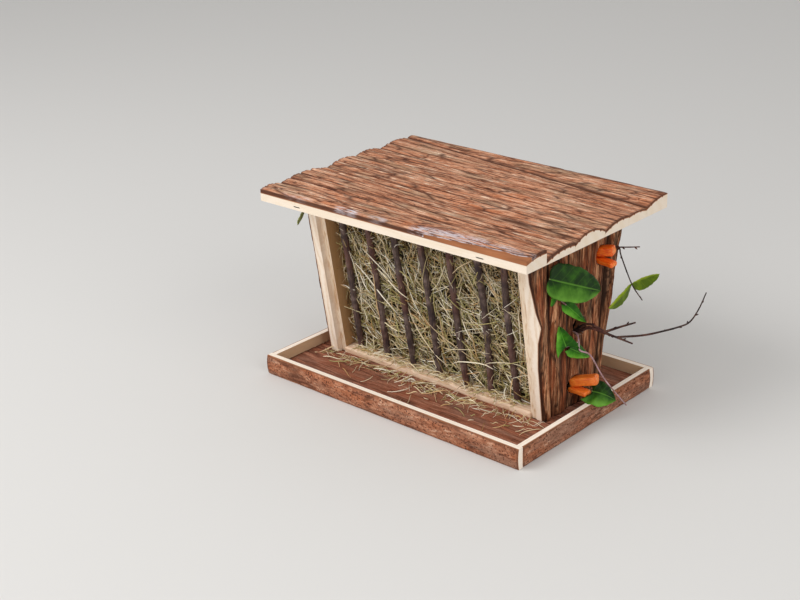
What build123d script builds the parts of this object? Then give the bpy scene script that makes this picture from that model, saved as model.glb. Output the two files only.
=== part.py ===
# Hay feeder box: a tray, a box with a twig rack on both faces and a loose lid, all of sawn
# bark-edged wood. X runs along the feeder, Y from its front to its back, Z up. The origin is
# the middle of the tray's underside. Lengths are in millimetres, angles in degrees.
import os

from build123d import *

os.makedirs("parts", exist_ok=True)

# ---------------------------------------------------------------- driving dimensions
# tray
tray_length = 400.0          # outside, over the ends of the front and back rail
tray_depth = 267.0           # outside, over the edges of the rails
rail_height = 25.5
rail_thickness = 8.0         # at the sawn edges
rail_bark_swell = 1.5        # how far the bark stands out beyond the edges, half way up
floor_thickness = 12.0
floor_board_count = 3
floor_joint_gap = 0.8

# box
box_centre_y = 12.0          # the box stands behind the middle of the tray
box_height = 215.0           # from the tray's floor to the top of the box
panel_span = 314.0           # between the inner faces of the two side panels
foot_half_depth = 54.0       # from the middle of the box to the face of a rack, at the foot
head_half_depth = 84.0       # the same at the top
post_width = 8.0
post_depth = 21.0
left_front_overhang = 7.5    # of the left panel, beyond the face of the front rack
right_front_overhang = 1.2
back_overhang = 5.0          # of both panels, beyond the face of the back rack

# bark slabs of the side panels, from front to back
left_front_thickness = 14.0  # at the cut front edge of the left panel
right_front_thickness = 9.6
slab_foot_joints = (9.0, 9.0, 7.0, 5.0)     # thickness at the back edge of each slab
slab_head_joints = (10.0, 11.0, 13.0, 16.0)
slab_foot_crowns = (14.0, 13.0, 12.0, 7.5)  # thickness half way across each slab
slab_head_crowns = (14.0, 15.0, 17.0, 20.0)
# a knot swells the front edge of the right panel: height above the floor, and how much thicker
knot_swells = ((70.0, 1.6), (104.0, 5.0), (125.7, 11.5), (142.0, 6.0), (160.0, 3.4), (178.0, 0.4))
second_slab_start_foot = 43.0   # in front of the middle of the box
second_slab_start_head = 50.5
second_slab_foot_width = 32.0
second_slab_head_width = 37.5
third_slab_foot_width = 57.0
third_slab_head_width = 76.5

# treat holes, as (slab, distance behind the middle of the box, height above the floor)
treat_hole_diameter = 24.0
front_high_hole = (2, -35.0, 166.0)
back_high_hole = (3, 47.0, 176.0)
middle_hole = (3, 8.0, 100.0)
low_hole = (3, 2.0, 27.0)

# laths between the posts
bottom_rail_depth = 27.0
bottom_rail_thickness = 8.0
bottom_rail_lip = 4.0        # in front of the posts
top_rail_thickness = 8.0
panel_batten_height = 15.0

# twigs of the racks
twig_count = 7
twig_diameter = 9.0
twig_socket_depth = 5.0
twig_socket_clearance = 0.2

# lid
lid_length = 405.0
lid_front_reach = 134.0      # from the middle of the box to the front edge of the lid
# widths of the front board and of the slabs behind it, at the two ends of the lid
lid_left_widths = (34.0, 80.0, 53.0, 47.0, 54.0, 11.0)
lid_right_widths = (35.0, 51.0, 56.5, 46.5, 36.5, 42.5)
# their thicknesses at the front edge, half way across and at the back edge
lid_left_thicknesses = ((14.5, 17.0, 14.0), (14.0, 19.0, 13.0), (13.0, 18.5, 15.5),
                        (15.5, 18.7, 13.7), (14.0, 18.8, 16.0), (16.0, 17.0, 17.0))
lid_right_thicknesses = ((14.5, 18.0, 18.0), (6.0, 12.0, 11.0), (7.0, 16.0, 8.0),
                         (6.5, 13.0, 12.5), (11.0, 12.5, 10.0), (11.0, 17.0, 18.5))
# the furrows of the bark, as shares of the width of each board
lid_furrows = ((0.33, 0.70), (0.20, 0.42, 0.63, 0.84), (0.16, 0.37, 0.61, 0.83),
               (0.24, 0.50, 0.77), (0.30, 0.66), (0.22, 0.48, 0.76))
furrow_half_width = 0.035    # as shares of the width of the board
furrow_depth = 0.030
lid_joint_gap = 0.3
lid_seat_gap = 0.3           # between the top of the box and the underside of the lid
lid_batten_width = 12.0
lid_batten_thickness = 8.5
lid_batten_setback = 22.0    # from the front and the back edge of the lid
lid_batten_play = 2.0        # to the posts on either side
staple_half_spacing = 140.0  # from the middle of the lid
staple_height = 4.0          # above the underside of the lid
lid_nail_length = 15.0
staple_crown_width = 10.0
staple_leg_length = 44.0
staple_wire = 1.2

# nails
nail_diameter = 1.6
nail_head_diameter = 3.2
nail_head_thickness = 0.6
nail_length = 20.0
nail_inset = 6.0             # from the edge of a rail to the nail nearest to it
floor_nail_inset = 22.0      # from the long edge of a floor board
slab_nail_seat = 7.0         # from the inner face of a panel to the head of a nail in its bark
post_nail_inset = 24.0       # from the foot and the head of a post

# filling
hay_headroom = 10.2          # from the top of the hay to the rails at the top of the racks
hay_setback = 7.0            # from the axis of the twigs to the face of the hay
hay_clearance = 0.5
leaf_thickness = 1.0
treat_clearance = 0.5        # between what is stuck into a hole and the wall of the hole

# ---------------------------------------------------------------- shared places
FRONT, BACK = -1, 1
LEFT, RIGHT = -1, 1
SIDES = {"left": LEFT, "right": RIGHT}
FACES = {"front": FRONT, "back": BACK}

floor_top = floor_thickness
box_top = floor_top + box_height
panel_inner = panel_span / 2
post_inner = panel_inner - post_width
rail_run = tray_length / 2 - rail_thickness       # inner face of a side rail
rail_gap = tray_depth / 2 - rail_thickness        # inner face of the front and back rail
top_rail_top = box_top - lid_batten_thickness - lid_seat_gap
top_rail_bottom = top_rail_top - top_rail_thickness
lid_underside = box_top + lid_seat_gap
lid_front = box_centre_y - lid_front_reach


def half_depth(z):
    """Distance from the middle of the box to the face of a rack, at the height z."""
    return foot_half_depth + (head_half_depth - foot_half_depth) * (z - floor_top) / box_height


def leaning(face, inset, z):
    """The y of a plane that leans with a rack, inset from the face of that rack."""
    return box_centre_y + face * (half_depth(z) - inset)


def finish(piece, name):
    """Label a finished piece and write its file."""
    piece.label = name
    export_step(piece, f"parts/{name}.step")


def prism(profile, start, length):
    """A piece with a profile drawn in Y and Z that runs along X from start."""
    with BuildPart() as piece:
        with BuildSketch(Plane.YZ.offset(start)):
            Polygon(*profile, align=None)
        extrude(amount=length)
    return piece.part


def nails(planes, length):
    """A nail on each plane, its head on the plane and its shank along the plane's normal."""
    with BuildPart() as piece:
        with BuildSketch(*planes):
            Circle(nail_head_diameter / 2)
        extrude(amount=nail_head_thickness)
        with BuildSketch(*planes):
            Circle(nail_diameter / 2)
        extrude(amount=length)
    return piece.part


def branch(points, start_diameter, end_diameter):
    """A thin branch through the points, tapering evenly from one to the next."""
    runs = [after - before for before, after in zip(points, points[1:])]
    ways = [runs[0]] + [a.normalized() + b.normalized() for a, b in zip(runs, runs[1:])] + [runs[-1]]
    step = (end_diameter - start_diameter) / len(runs)
    with BuildPart() as piece:
        for index, (point, way) in enumerate(zip(points, ways)):
            with BuildSketch(Plane(origin=point, z_dir=way)):
                Circle((start_diameter + step * index) / 2)
        loft(ruled=True)
    return piece.part


def leaf(base, tip, side, width):
    """A flat pointed leaf from base to tip, with its width along the direction side."""
    along = tip - base
    blade_plane = Plane(origin=base, x_dir=along, z_dir=along.cross(Vector(*side)))
    with BuildPart() as piece:
        with BuildSketch(blade_plane):
            with BuildLine():
                ThreePointArc((0, 0), (along.length / 2, width / 2), (along.length, 0))
                ThreePointArc((along.length, 0), (along.length / 2, -width / 2), (0, 0))
            make_face()
        extrude(amount=leaf_thickness / 2, both=True)
    return piece.part


# ---------------------------------------------------------------- tray
# The front and back rail run the full length and cover the ends of the side rails. Their
# outer faces are bark, a little fuller half way up than at the sawn edges.
for face_name, face in FACES.items():
    with BuildPart() as long_rail:
        outer = face * tray_depth / 2
        inner = face * rail_gap
        with BuildSketch(Plane.YZ.offset(-tray_length / 2)):
            with BuildLine():
                Polyline((outer, 0), (inner, 0), (inner, rail_height), (outer, rail_height))
                ThreePointArc((outer, rail_height),
                              (outer + face * rail_bark_swell, rail_height / 2), (outer, 0))
            make_face()
        extrude(amount=tray_length)
    finish(long_rail.part, f"tray_{face_name}_rail")

for side_name, side in SIDES.items():
    with BuildPart() as short_rail:
        outer = side * tray_length / 2
        inner = side * rail_run
        with BuildSketch(Plane.XZ.offset(-rail_gap)):
            with BuildLine():
                Polyline((outer, 0), (inner, 0), (inner, rail_height), (outer, rail_height))
                ThreePointArc((outer, rail_height),
                              (outer + side * rail_bark_swell, rail_height / 2), (outer, 0))
            make_face()
        extrude(amount=2 * rail_gap)
    finish(short_rail.part, f"tray_{side_name}_rail")

# The floor boards lie side by side between the rails, flush with their lower edges.
floor_board_width = (2 * rail_gap - (floor_board_count - 1) * floor_joint_gap) / floor_board_count
floor_board_pitch = floor_board_width + floor_joint_gap
for number in range(floor_board_count):
    board_middle = -rail_gap + floor_board_width / 2 + number * floor_board_pitch
    with BuildPart() as floor_board:
        with BuildSketch(Plane.XY):
            with Locations((0, board_middle)):
                Rectangle(2 * rail_run, floor_board_width)
        extrude(amount=floor_thickness)
    finish(floor_board.part, f"floor_board_{number + 1}")

# Two nails through each end of the long rails into the side rails, and two through the side
# rails into each end of each floor board.
tray_nail_planes = []
for side in SIDES.values():
    for face in FACES.values():
        for height in (nail_inset, rail_height - nail_inset):
            seat = (side * (tray_length - rail_thickness) / 2, face * tray_depth / 2, height)
            tray_nail_planes.append(Plane(origin=seat, z_dir=(0, -face, 0)))
    for number in range(floor_board_count):
        board_middle = -rail_gap + floor_board_width / 2 + number * floor_board_pitch
        for across in (-1, 1):
            offset = across * (floor_board_width / 2 - floor_nail_inset)
            seat = (side * tray_length / 2, board_middle + offset, floor_thickness / 2)
            tray_nail_planes.append(Plane(origin=seat, z_dir=(-side, 0, 0)))
finish(nails(tray_nail_planes, nail_length), "tray_nails")

# ---------------------------------------------------------------- side panels
# Each panel is four upright slabs with their bark outside. The panel narrows towards its
# foot, so every slab is a loft from a foot section to a head section. The right panel's front
# slab has sections in between, where a knot swells its edge.
second_end_foot = second_slab_foot_width - second_slab_start_foot
second_end_head = second_slab_head_width - second_slab_start_head
foot_joints = (-second_slab_start_foot, second_end_foot,
               second_end_foot + third_slab_foot_width, foot_half_depth + back_overhang)
head_joints = (-second_slab_start_head, second_end_head,
               second_end_head + third_slab_head_width, head_half_depth + back_overhang)
front_overhangs = {"left": left_front_overhang, "right": right_front_overhang}
front_thicknesses = {"left": left_front_thickness, "right": right_front_thickness}
slab_count = len(foot_joints)
treat_holes = (front_high_hole, back_high_hole, middle_hole, low_hole)


def hole_centre(hole):
    """The y and z of the middle of a treat hole."""
    return box_centre_y + hole[1], floor_top + hole[2]


def between(foot, head, share):
    """A size that changes evenly from the foot of a panel to its head."""
    return foot + (head - foot) * share


for side_name, side in SIDES.items():
    for index in range(slab_count):
        swells = knot_swells if (side, index) == (RIGHT, 0) else ()
        stations = ((0, 0), *swells, (box_height, 0))
        with BuildPart() as side_slab:
            for height, swell in stations:
                share = height / box_height
                end = box_centre_y + between(foot_joints[index], head_joints[index], share)
                end_x = side * (panel_inner + between(slab_foot_joints[index],
                                                      slab_head_joints[index], share))
                crown_x = side * (panel_inner + between(slab_foot_crowns[index],
                                                        slab_head_crowns[index], share))
                if index:
                    start = box_centre_y + between(foot_joints[index - 1], head_joints[index - 1],
                                                   share)
                    start_x = side * (panel_inner + between(slab_foot_joints[index - 1],
                                                            slab_head_joints[index - 1], share))
                else:
                    start = leaning(FRONT, -front_overhangs[side_name], floor_top + height)
                    start_x = side * (panel_inner + front_thicknesses[side_name] + swell)
                with BuildSketch(Plane.XY.offset(floor_top + height)):
                    with BuildLine():
                        Polyline((start_x, start), (side * panel_inner, start),
                                 (side * panel_inner, end), (end_x, end))
                        ThreePointArc((end_x, end), (crown_x, (start + end) / 2), (start_x, start))
                    make_face()
            loft(ruled=True)
            for hole in treat_holes:
                if hole[0] == index + 1:
                    with BuildSketch(Plane.YZ.offset(side * panel_inner)):
                        with Locations(hole_centre(hole)):
                            Circle(treat_hole_diameter / 2)
                    extrude(amount=side * slab_head_crowns[index], mode=Mode.SUBTRACT)
        finish(side_slab.part, f"{side_name}_side_slab_{index + 1}")

# ---------------------------------------------------------------- rack frames
# The posts stand inside the corners of the panels and lean with their edges.
for face_name, face in FACES.items():
    for side_name, side in SIDES.items():
        post_profile = [(leaning(face, inset, z), z) for inset, z in
                        ((0, floor_top), (post_depth, floor_top), (post_depth, box_top), (0, box_top))]
        post_start = post_inner if side == RIGHT else -panel_inner
        finish(prism(post_profile, post_start, post_width), f"{face_name}_{side_name}_post")

# The twigs stand half way between the faces of the posts, evenly spaced, in sockets drilled
# along their own axes into the rails above and below them.
twig_foot = floor_top + bottom_rail_thickness - twig_socket_depth
twig_head = top_rail_bottom + twig_socket_depth
twig_pitch = 2 * post_inner / twig_count
socket_diameter = twig_diameter + 2 * twig_socket_clearance
twig_places = [(number - (twig_count - 1) / 2) * twig_pitch for number in range(twig_count)]
# how far the head and the foot of each twig stand to the right of its even place, and its two
# bends, as grown
low_bend_share = 0.36
high_bend_share = 0.66
twig_head_shifts = (-2.8, -2.4, -2.9, -3.5, -1.6, -3.1, -6.2)
twig_foot_shifts = (-3.3, 0.1, 1.6, 1.5, 0.9, -2.6, -6.2)
twig_low_bends = (0.4, 1.5, 0.1, 1.3, -1.6, 2.8, -1.2)
twig_high_bends = (1.4, 1.4, -0.3, 0.8, -1.6, 2.9, -2.3)


def twig_ends(face, place, number):
    """The two ends of the straight axis from a twig's foot to its head."""
    foot_x = place + twig_foot_shifts[number % len(twig_foot_shifts)]
    head_x = place + twig_head_shifts[number % len(twig_head_shifts)]
    foot = Vector(foot_x, leaning(face, post_depth / 2, twig_foot), twig_foot)
    head = Vector(head_x, leaning(face, post_depth / 2, twig_head), twig_head)
    return foot, head


rail_levels = {"bottom": (floor_top, floor_top + bottom_rail_thickness),
               "top": (top_rail_bottom, top_rail_top)}
rail_insets = {"bottom": (-bottom_rail_lip, bottom_rail_depth - bottom_rail_lip),
               "top": (0, post_depth)}
for face_name, face in FACES.items():
    for level, (low, high) in rail_levels.items():
        near, far = rail_insets[level]
        with BuildPart() as rack_rail:
            with BuildSketch(Plane.YZ.offset(-post_inner)):
                Polygon((leaning(face, near, low), low), (leaning(face, far, low), low),
                        (leaning(face, far, high), high), (leaning(face, near, high), high),
                        align=None)
            extrude(amount=2 * post_inner)
            for number, place in enumerate(twig_places):
                foot, head = twig_ends(face, place, number)
                deep_end = foot if level == "bottom" else head
                way = head - foot if level == "bottom" else foot - head
                with BuildSketch(Plane(origin=deep_end, z_dir=way)):
                    Circle(socket_diameter / 2)
                extrude(amount=2 * twig_socket_depth, mode=Mode.SUBTRACT)
        finish(rack_rail.part, f"{face_name}_{level}_rail")

# A twig is straight in its sockets and a little crooked between them.
for face_name, face in FACES.items():
    for number, place in enumerate(twig_places):
        foot, head = twig_ends(face, place, number)
        axis = head - foot
        socket_share = 2 * twig_socket_depth / axis.length
        low_bend = twig_low_bends[number % len(twig_low_bends)]
        high_bend = twig_high_bends[number % len(twig_high_bends)]
        stations = ((0, 0), (socket_share, 0), (low_bend_share, low_bend),
                    (high_bend_share, high_bend), (1 - socket_share, 0), (1, 0))
        with BuildPart() as twig:
            for share, bend in stations:
                middle = foot + axis * share + Vector(bend, 0, 0)
                with BuildSketch(Plane(origin=middle, z_dir=axis)):
                    Circle(twig_diameter / 2)
            loft(ruled=True)
        finish(twig.part, f"{face_name}_twig_{number + 1}")

# Battens between the posts tie the slabs of each panel together, inside the box.
batten_levels = {"lower": (floor_top, floor_top + panel_batten_height),
                 "upper": (box_top - panel_batten_height, box_top)}
for side_name, side in SIDES.items():
    for level, (low, high) in batten_levels.items():
        batten_profile = [(leaning(face, post_depth, z), z) for face, z in
                          ((FRONT, low), (BACK, low), (BACK, high), (FRONT, high))]
        batten_start = post_inner if side == RIGHT else -panel_inner
        finish(prism(batten_profile, batten_start, post_width), f"{side_name}_{level}_batten")

# Nails through the slabs into the posts and the battens, and up through the floor into the
# feet of the posts. Their heads lie sunk in the bark.
box_nail_planes = []
for side in SIDES.values():
    seat_x = side * (panel_inner + slab_nail_seat)
    for face in FACES.values():
        for z in (floor_top + post_nail_inset, floor_top + box_height / 2, box_top - post_nail_inset):
            seat = (seat_x, leaning(face, post_depth / 2, z), z)
            box_nail_planes.append(Plane(origin=seat, z_dir=(-side, 0, 0)))
        seat = (side * (panel_inner - post_width / 2), leaning(face, post_depth / 2, floor_top), 0)
        box_nail_planes.append(Plane(origin=seat, z_dir=(0, 0, 1)))
    for z, joints in ((floor_top + panel_batten_height / 2, foot_joints),
                      (box_top - panel_batten_height / 2, head_joints)):
        for index in (0, 1):
            middle = box_centre_y + (joints[index] + joints[index + 1]) / 2
            box_nail_planes.append(Plane(origin=(seat_x, middle, z), z_dir=(-side, 0, 0)))
box_nail_length = slab_nail_seat + post_width - nail_head_thickness
finish(nails(box_nail_planes, box_nail_length), "box_nails")

# ---------------------------------------------------------------- lid
# A front board and bark slabs side by side, sawn off together at both ends. The slabs are
# offcuts that taper along the lid, each domed and furrowed by its bark, so every board is a
# loft from its left end to its right end. They lie on two battens that drop between the posts
# and keep the lid in place.
lid_names = ["lid_front_board"] + [f"lid_slab_{number}" for number in range(1, len(lid_left_widths))]


def board_height(thicknesses, share):
    """The thickness of a lid board at a share of its width, on a curve through all three."""
    front, middle, back = thicknesses
    return (front * (1 - share) * (1 - 2 * share) + 4 * middle * share * (1 - share)
            + back * share * (2 * share - 1))


def board_profile(near, far, thicknesses, furrows):
    """The end of a lid board in Y and Z, with a furrow at each of the shares."""
    width = far - near
    tops = [(0, 0)]
    for number, furrow in enumerate(furrows):
        if number:
            tops.append(((furrows[number - 1] + furrow) / 2, 0))
        tops += [(furrow - furrow_half_width, 0), (furrow, furrow_depth * width),
                 (furrow + furrow_half_width, 0)]
    tops.append((1, 0))
    outline = [(near + share * width, lid_underside + board_height(thicknesses, share) - depth)
               for share, depth in tops]
    return [(near, lid_underside)] + outline + [(far, lid_underside)]


def board_start(index, widths):
    """The y of the front edge of a lid board, at the end of the lid with these widths."""
    return lid_front + sum(widths[:index])


for index, name in enumerate(lid_names):
    gap = lid_joint_gap if index else 0
    with BuildPart() as lid_board:
        for end, widths, thicknesses in ((LEFT, lid_left_widths, lid_left_thicknesses),
                                         (RIGHT, lid_right_widths, lid_right_thicknesses)):
            near = board_start(index, widths) + gap
            far = board_start(index + 1, widths)
            with BuildSketch(Plane.YZ.offset(end * lid_length / 2)):
                Polygon(*board_profile(near, far, thicknesses[index], lid_furrows[index]), align=None)
        loft(ruled=True)
    finish(lid_board.part, name)

lid_batten_x = post_inner - lid_batten_play - lid_batten_width / 2
lid_batten_low = lid_underside - lid_batten_thickness
lid_batten_back = board_start(len(lid_names), lid_right_widths) - lid_batten_setback
lid_batten_length = lid_batten_back - lid_front - lid_batten_setback
for side_name, side in SIDES.items():
    with BuildPart() as lid_batten:
        with BuildSketch(Plane.XY.offset(lid_batten_low)):
            with Locations((side * lid_batten_x, lid_batten_back - lid_batten_length / 2)):
                Rectangle(lid_batten_width, lid_batten_length)
        extrude(amount=lid_batten_thickness)
    finish(lid_batten.part, f"lid_{side_name}_batten")

# One nail through each batten into each board that lies on it.
lid_nail_planes = []
for side in SIDES.values():
    right_share = (1 + 2 * side * lid_batten_x / lid_length) / 2
    starts = [board_start(index, lid_left_widths) * (1 - right_share)
              + board_start(index, lid_right_widths) * right_share
              for index in range(len(lid_names) + 1)]
    for near, far in zip(starts, starts[1:]):
        covered_near = max(near, lid_front + lid_batten_setback)
        covered_far = min(far, lid_batten_back)
        if covered_far - covered_near > nail_head_diameter:
            seat = (side * lid_batten_x, (covered_near + covered_far) / 2, lid_batten_low)
            lid_nail_planes.append(Plane(origin=seat, z_dir=(0, 0, 1)))
finish(nails(lid_nail_planes, lid_nail_length), "lid_nails")

# Two staples driven into the front face hold the front board to the first slab.
with BuildPart() as lid_staples:
    with Locations(*[(side * staple_half_spacing, lid_front, lid_underside + staple_height)
                     for side in SIDES.values()]):
        Box(staple_crown_width, staple_wire, staple_wire, align=(Align.CENTER, Align.MIN, Align.CENTER))
        with Locations((-(staple_crown_width - staple_wire) / 2, 0, 0),
                       ((staple_crown_width - staple_wire) / 2, 0, 0)):
            Box(staple_wire, staple_leg_length, staple_wire,
                align=(Align.CENTER, Align.MIN, Align.CENTER))
finish(lid_staples.part, "lid_staples")

# ---------------------------------------------------------------- filling
# The hay is one soft block between the racks, just behind the twigs. It stands on the floor
# between the bottom rails and widens above them.
hay_low = floor_top + hay_clearance
hay_step = floor_top + bottom_rail_thickness + hay_clearance
hay_top = top_rail_bottom - hay_headroom
hay_foot_inset = bottom_rail_depth - bottom_rail_lip + hay_clearance
hay_inset = post_depth / 2 + hay_setback
hay_outline = [(leaning(FRONT, hay_foot_inset, floor_top), hay_low),
               (leaning(FRONT, hay_foot_inset, floor_top), hay_step),
               (leaning(FRONT, hay_inset, hay_step), hay_step),
               (leaning(FRONT, hay_inset, hay_top), hay_top),
               (leaning(BACK, hay_inset, hay_top), hay_top),
               (leaning(BACK, hay_inset, hay_step), hay_step),
               (leaning(BACK, hay_foot_inset, floor_top), hay_step),
               (leaning(BACK, hay_foot_inset, floor_top), hay_low)]
hay_half_length = post_inner - hay_clearance
finish(prism(hay_outline, -hay_half_length, 2 * hay_half_length), "hay_fill")


# What is stuck into the holes of the right panel, placed from the middle of its hole. The
# first number of each place is the distance outwards from the inner face of the panel.
def from_hole(hole, outwards, behind, above, side=RIGHT):
    """A point given from the middle of a treat hole, at the inner face of a panel."""
    y, z = hole_centre(hole)
    return (side * (panel_inner + outwards), y + behind, z + above)


# Two carrot sticks fill a hole, a thick one over a thin one, held by the wall of the hole.
hole_reach = treat_hole_diameter / 2 - treat_clearance
stick_width = 13.0
thick_stick_height = 11.0
thin_stick_height = 6.0
stick_corner = 2.5
stick_root = 6.0
thick_stick_play = 1.8       # below the wall of the hole, for it points up and backwards
stick_chord = (hole_reach ** 2 - (stick_width / 2) ** 2) ** 0.5
thick_stick_rise = stick_chord - thick_stick_height / 2 - thick_stick_play
thin_stick_drop = stick_chord - thin_stick_height / 2
# hole, height of the root above its middle, thickness, direction and length of each stick
carrot_places = ((back_high_hole, thick_stick_rise, thick_stick_height, (10.0, 3.2, 1.6), 23.0),
                 (back_high_hole, -thin_stick_drop, thin_stick_height, (10.0, 0.0, -0.8), 27.0),
                 (low_hole, thick_stick_rise, thick_stick_height, (10.0, 2.7, 2.6), 34.0),
                 (low_hole, -thin_stick_drop, thin_stick_height, (10.0, 0.0, 0.0), 25.0))
with BuildPart() as carrot_sticks:
    for hole, above, height, way, length in carrot_places:
        root_plane = Plane(origin=from_hole(hole, stick_root, 0, above), x_dir=(0, 1, 0), z_dir=way)
        with BuildSketch(root_plane):
            RectangleRounded(stick_width, height, stick_corner)
        extrude(amount=length)
finish(carrot_sticks.part, "carrot_sticks")

# Broad leaves hang out of the holes on stalks that run on into their blades as a midrib, two
# on the right panel and one on the left. Each has its side, its hole, the points of its
# stalk, its tip, the direction of its width and its width.
stalk_diameter = 2.0
midrib_share = 0.4
broad_leaf_places = (
    (RIGHT, front_high_hole, ((2, -6, 8), (15, -8.5, 6), (19, -23.3, 13.9)), (41, 43.6, -16),
     (-6, -2, 41), 42.0),
    (RIGHT, low_hole, ((2, 10.4, 0), (16, 9.5, -4), (30, 9.5, -6), (34, 4, -4)), (57, 18.6, -14.6),
     (-6, 32, 15), 30.0),
    (LEFT, front_high_hole, ((2, 0, -10.4), (16, -7, -6), (24, -25, 10), (31, -40.8, 22.6)),
     (33, -50.7, 5.9), (3, 10, -5.5), 9.0))
broad_leaf_pieces = []
for side, hole, stalk, tip, width_way, width in broad_leaf_places:
    stalk_points = [Vector(*from_hole(hole, *place, side)) for place in stalk]
    base = stalk_points[-1]
    tip_point = Vector(*from_hole(hole, *tip, side))
    stalk_points.append(base + (tip_point - base) * midrib_share)
    broad_leaf_pieces.append(branch(stalk_points, stalk_diameter, stalk_diameter))
    broad_leaf_pieces.append(leaf(base, tip_point, width_way, width))
with BuildPart() as broad_leaves:
    for piece in broad_leaf_pieces:
        add(piece)
finish(broad_leaves.part, "broad_leaves")


def from_places(hole, places):
    """The points of a stem, each given from the middle of a hole of the right panel."""
    return [Vector(*from_hole(hole, *place)) for place in places]


# A sprig in two stems hangs down the panel: a short one from the same hole as the first broad
# leaf, and a long one from the hole below it, which ends just above the ground beside the tray.
# Each stem carries two small leaves, those of the long one on a stalk of their own.
sprig_diameter = 2.2
sprig_end_diameter = 1.6
sprig_stems = (
    (front_high_hole, ((2, 3, -10), (16, -2, -9.5), (17.5, 0, -19), (17, 10.9, -28.4))),
    (middle_hole, ((2, -8.1, -6.8), (15, -8.1, -6.8), (23, -15, -12), (27, -18, -21),
                   (33, -6.3, -29.4), (47, -3.9, -50.3), (60, -2.2, -64.3), (54, 39.5, -105.3))),
    (middle_hole, ((23, -15, -12), (23, -39.5, -9.9))))
# hole, base, tip, direction of the width and width of each leaf
sprig_leaves = ((front_high_hole, (16, -2, -9.5), (17, -16.7, -21.4), (0, 10, -12.4), 12.0),
                (front_high_hole, (17, 10.9, -28.4), (23, 42.7, -60.1), (9, 22, 24), 14.0),
                (middle_hole, (23, -39.5, -9.9), (23, -53.3, 20.8), (15, 19, 9), 17.0),
                (middle_hole, (23, -39.5, -9.9), (23, 8.1, -40.1), (2, 19, 30), 16.0))
sprig_pieces = [branch(from_places(hole, places), sprig_diameter, sprig_end_diameter)
                for hole, places in sprig_stems]
for hole, base_place, tip_place, width_way, width in sprig_leaves:
    base, tip_point = from_places(hole, (base_place, tip_place))
    sprig_pieces.append(leaf(base, tip_point, width_way, width))
with BuildPart() as leafy_sprig:
    for piece in sprig_pieces:
        add(piece)
finish(leafy_sprig.part, "leafy_sprig")

# A bare twig leans out of the middle hole and forks into two short shoots and a long one.
bare_twig_diameter = 4.8
fork_diameter = 3.2
shoot_end_diameter = 1.6
trunk_places = ((-4, 2.3, -9.6), (12, 0, -7), (27, 0, 1), (47, 4, -2))
shoots = (((44, 3.4, -1.5), (59, 17, 5), (69, 30.5, 8)),
          ((44, 3.4, -1.5), (59, 8.8, -5.7), (69, 25.3, -16.4)),
          ((58, 8.4, -5.4), (79, 30.3, -5.1), (89, 54.5, -6.1), (94, 83, -9), (99, 98.5, -6.7),
           (99, 117.3, 3), (99, 132.8, 18.9)))
bare_twig_pieces = [branch(from_places(middle_hole, trunk_places), bare_twig_diameter, fork_diameter)]
for places in shoots:
    bare_twig_pieces.append(branch(from_places(middle_hole, places), fork_diameter,
                                   shoot_end_diameter))
with BuildPart() as bare_twig:
    for piece in bare_twig_pieces:
        add(piece)
finish(bare_twig.part, "bare_twig")

# A thin twig comes out beside the upper carrot sticks, with a short stub and, where it hangs
# down, two round leaves.
thin_twig_diameter = 2.4
thin_twig_end_diameter = 1.2
thin_twig_places = ((1, 10.2, -3), (13, 10.2, -2.5), (18.5, 14, 2), (21.5, 18, 5), (24.2, 20, 5.6),
                    (26.5, 20, 2.5), (29, 19.3, -4.8), (46.6, 15.8, -34), (53, 29, -57))
stub_places = ((21.5, 18, 5), (43, 36, 4.7))
round_leaves = (((46.6, 15.8, -34), (43, -24, -52), (2, 20, -18), 17.0),
                ((46.6, 15.8, -34), (57, 57, -32), (1, 14, -18), 15.0))
budding_twig_pieces = [
    branch(from_places(back_high_hole, thin_twig_places), thin_twig_diameter, thin_twig_end_diameter),
    branch(from_places(back_high_hole, stub_places), thin_twig_diameter, thin_twig_end_diameter)]
for base_place, tip_place, width_way, width in round_leaves:
    base, tip_point = from_places(back_high_hole, (base_place, tip_place))
    budding_twig_pieces.append(leaf(base, tip_point, width_way, width))
with BuildPart() as budding_twig:
    for piece in budding_twig_pieces:
        add(piece)
finish(budding_twig.part, "budding_twig")
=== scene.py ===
# A hay feeder box for small animals, made of bark-edged boards, twigs and hay: a shallow tray, a
# box with a rack of twigs on both faces, treats stuck into the holes of its panels, and a loose
# lid. Metres, X along the feeder, Y from its front to its back, Z up.
import math
import random

import bmesh
import bpy
import numpy as np
from mathutils import Matrix, Vector
from mathutils.noise import noise


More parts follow.
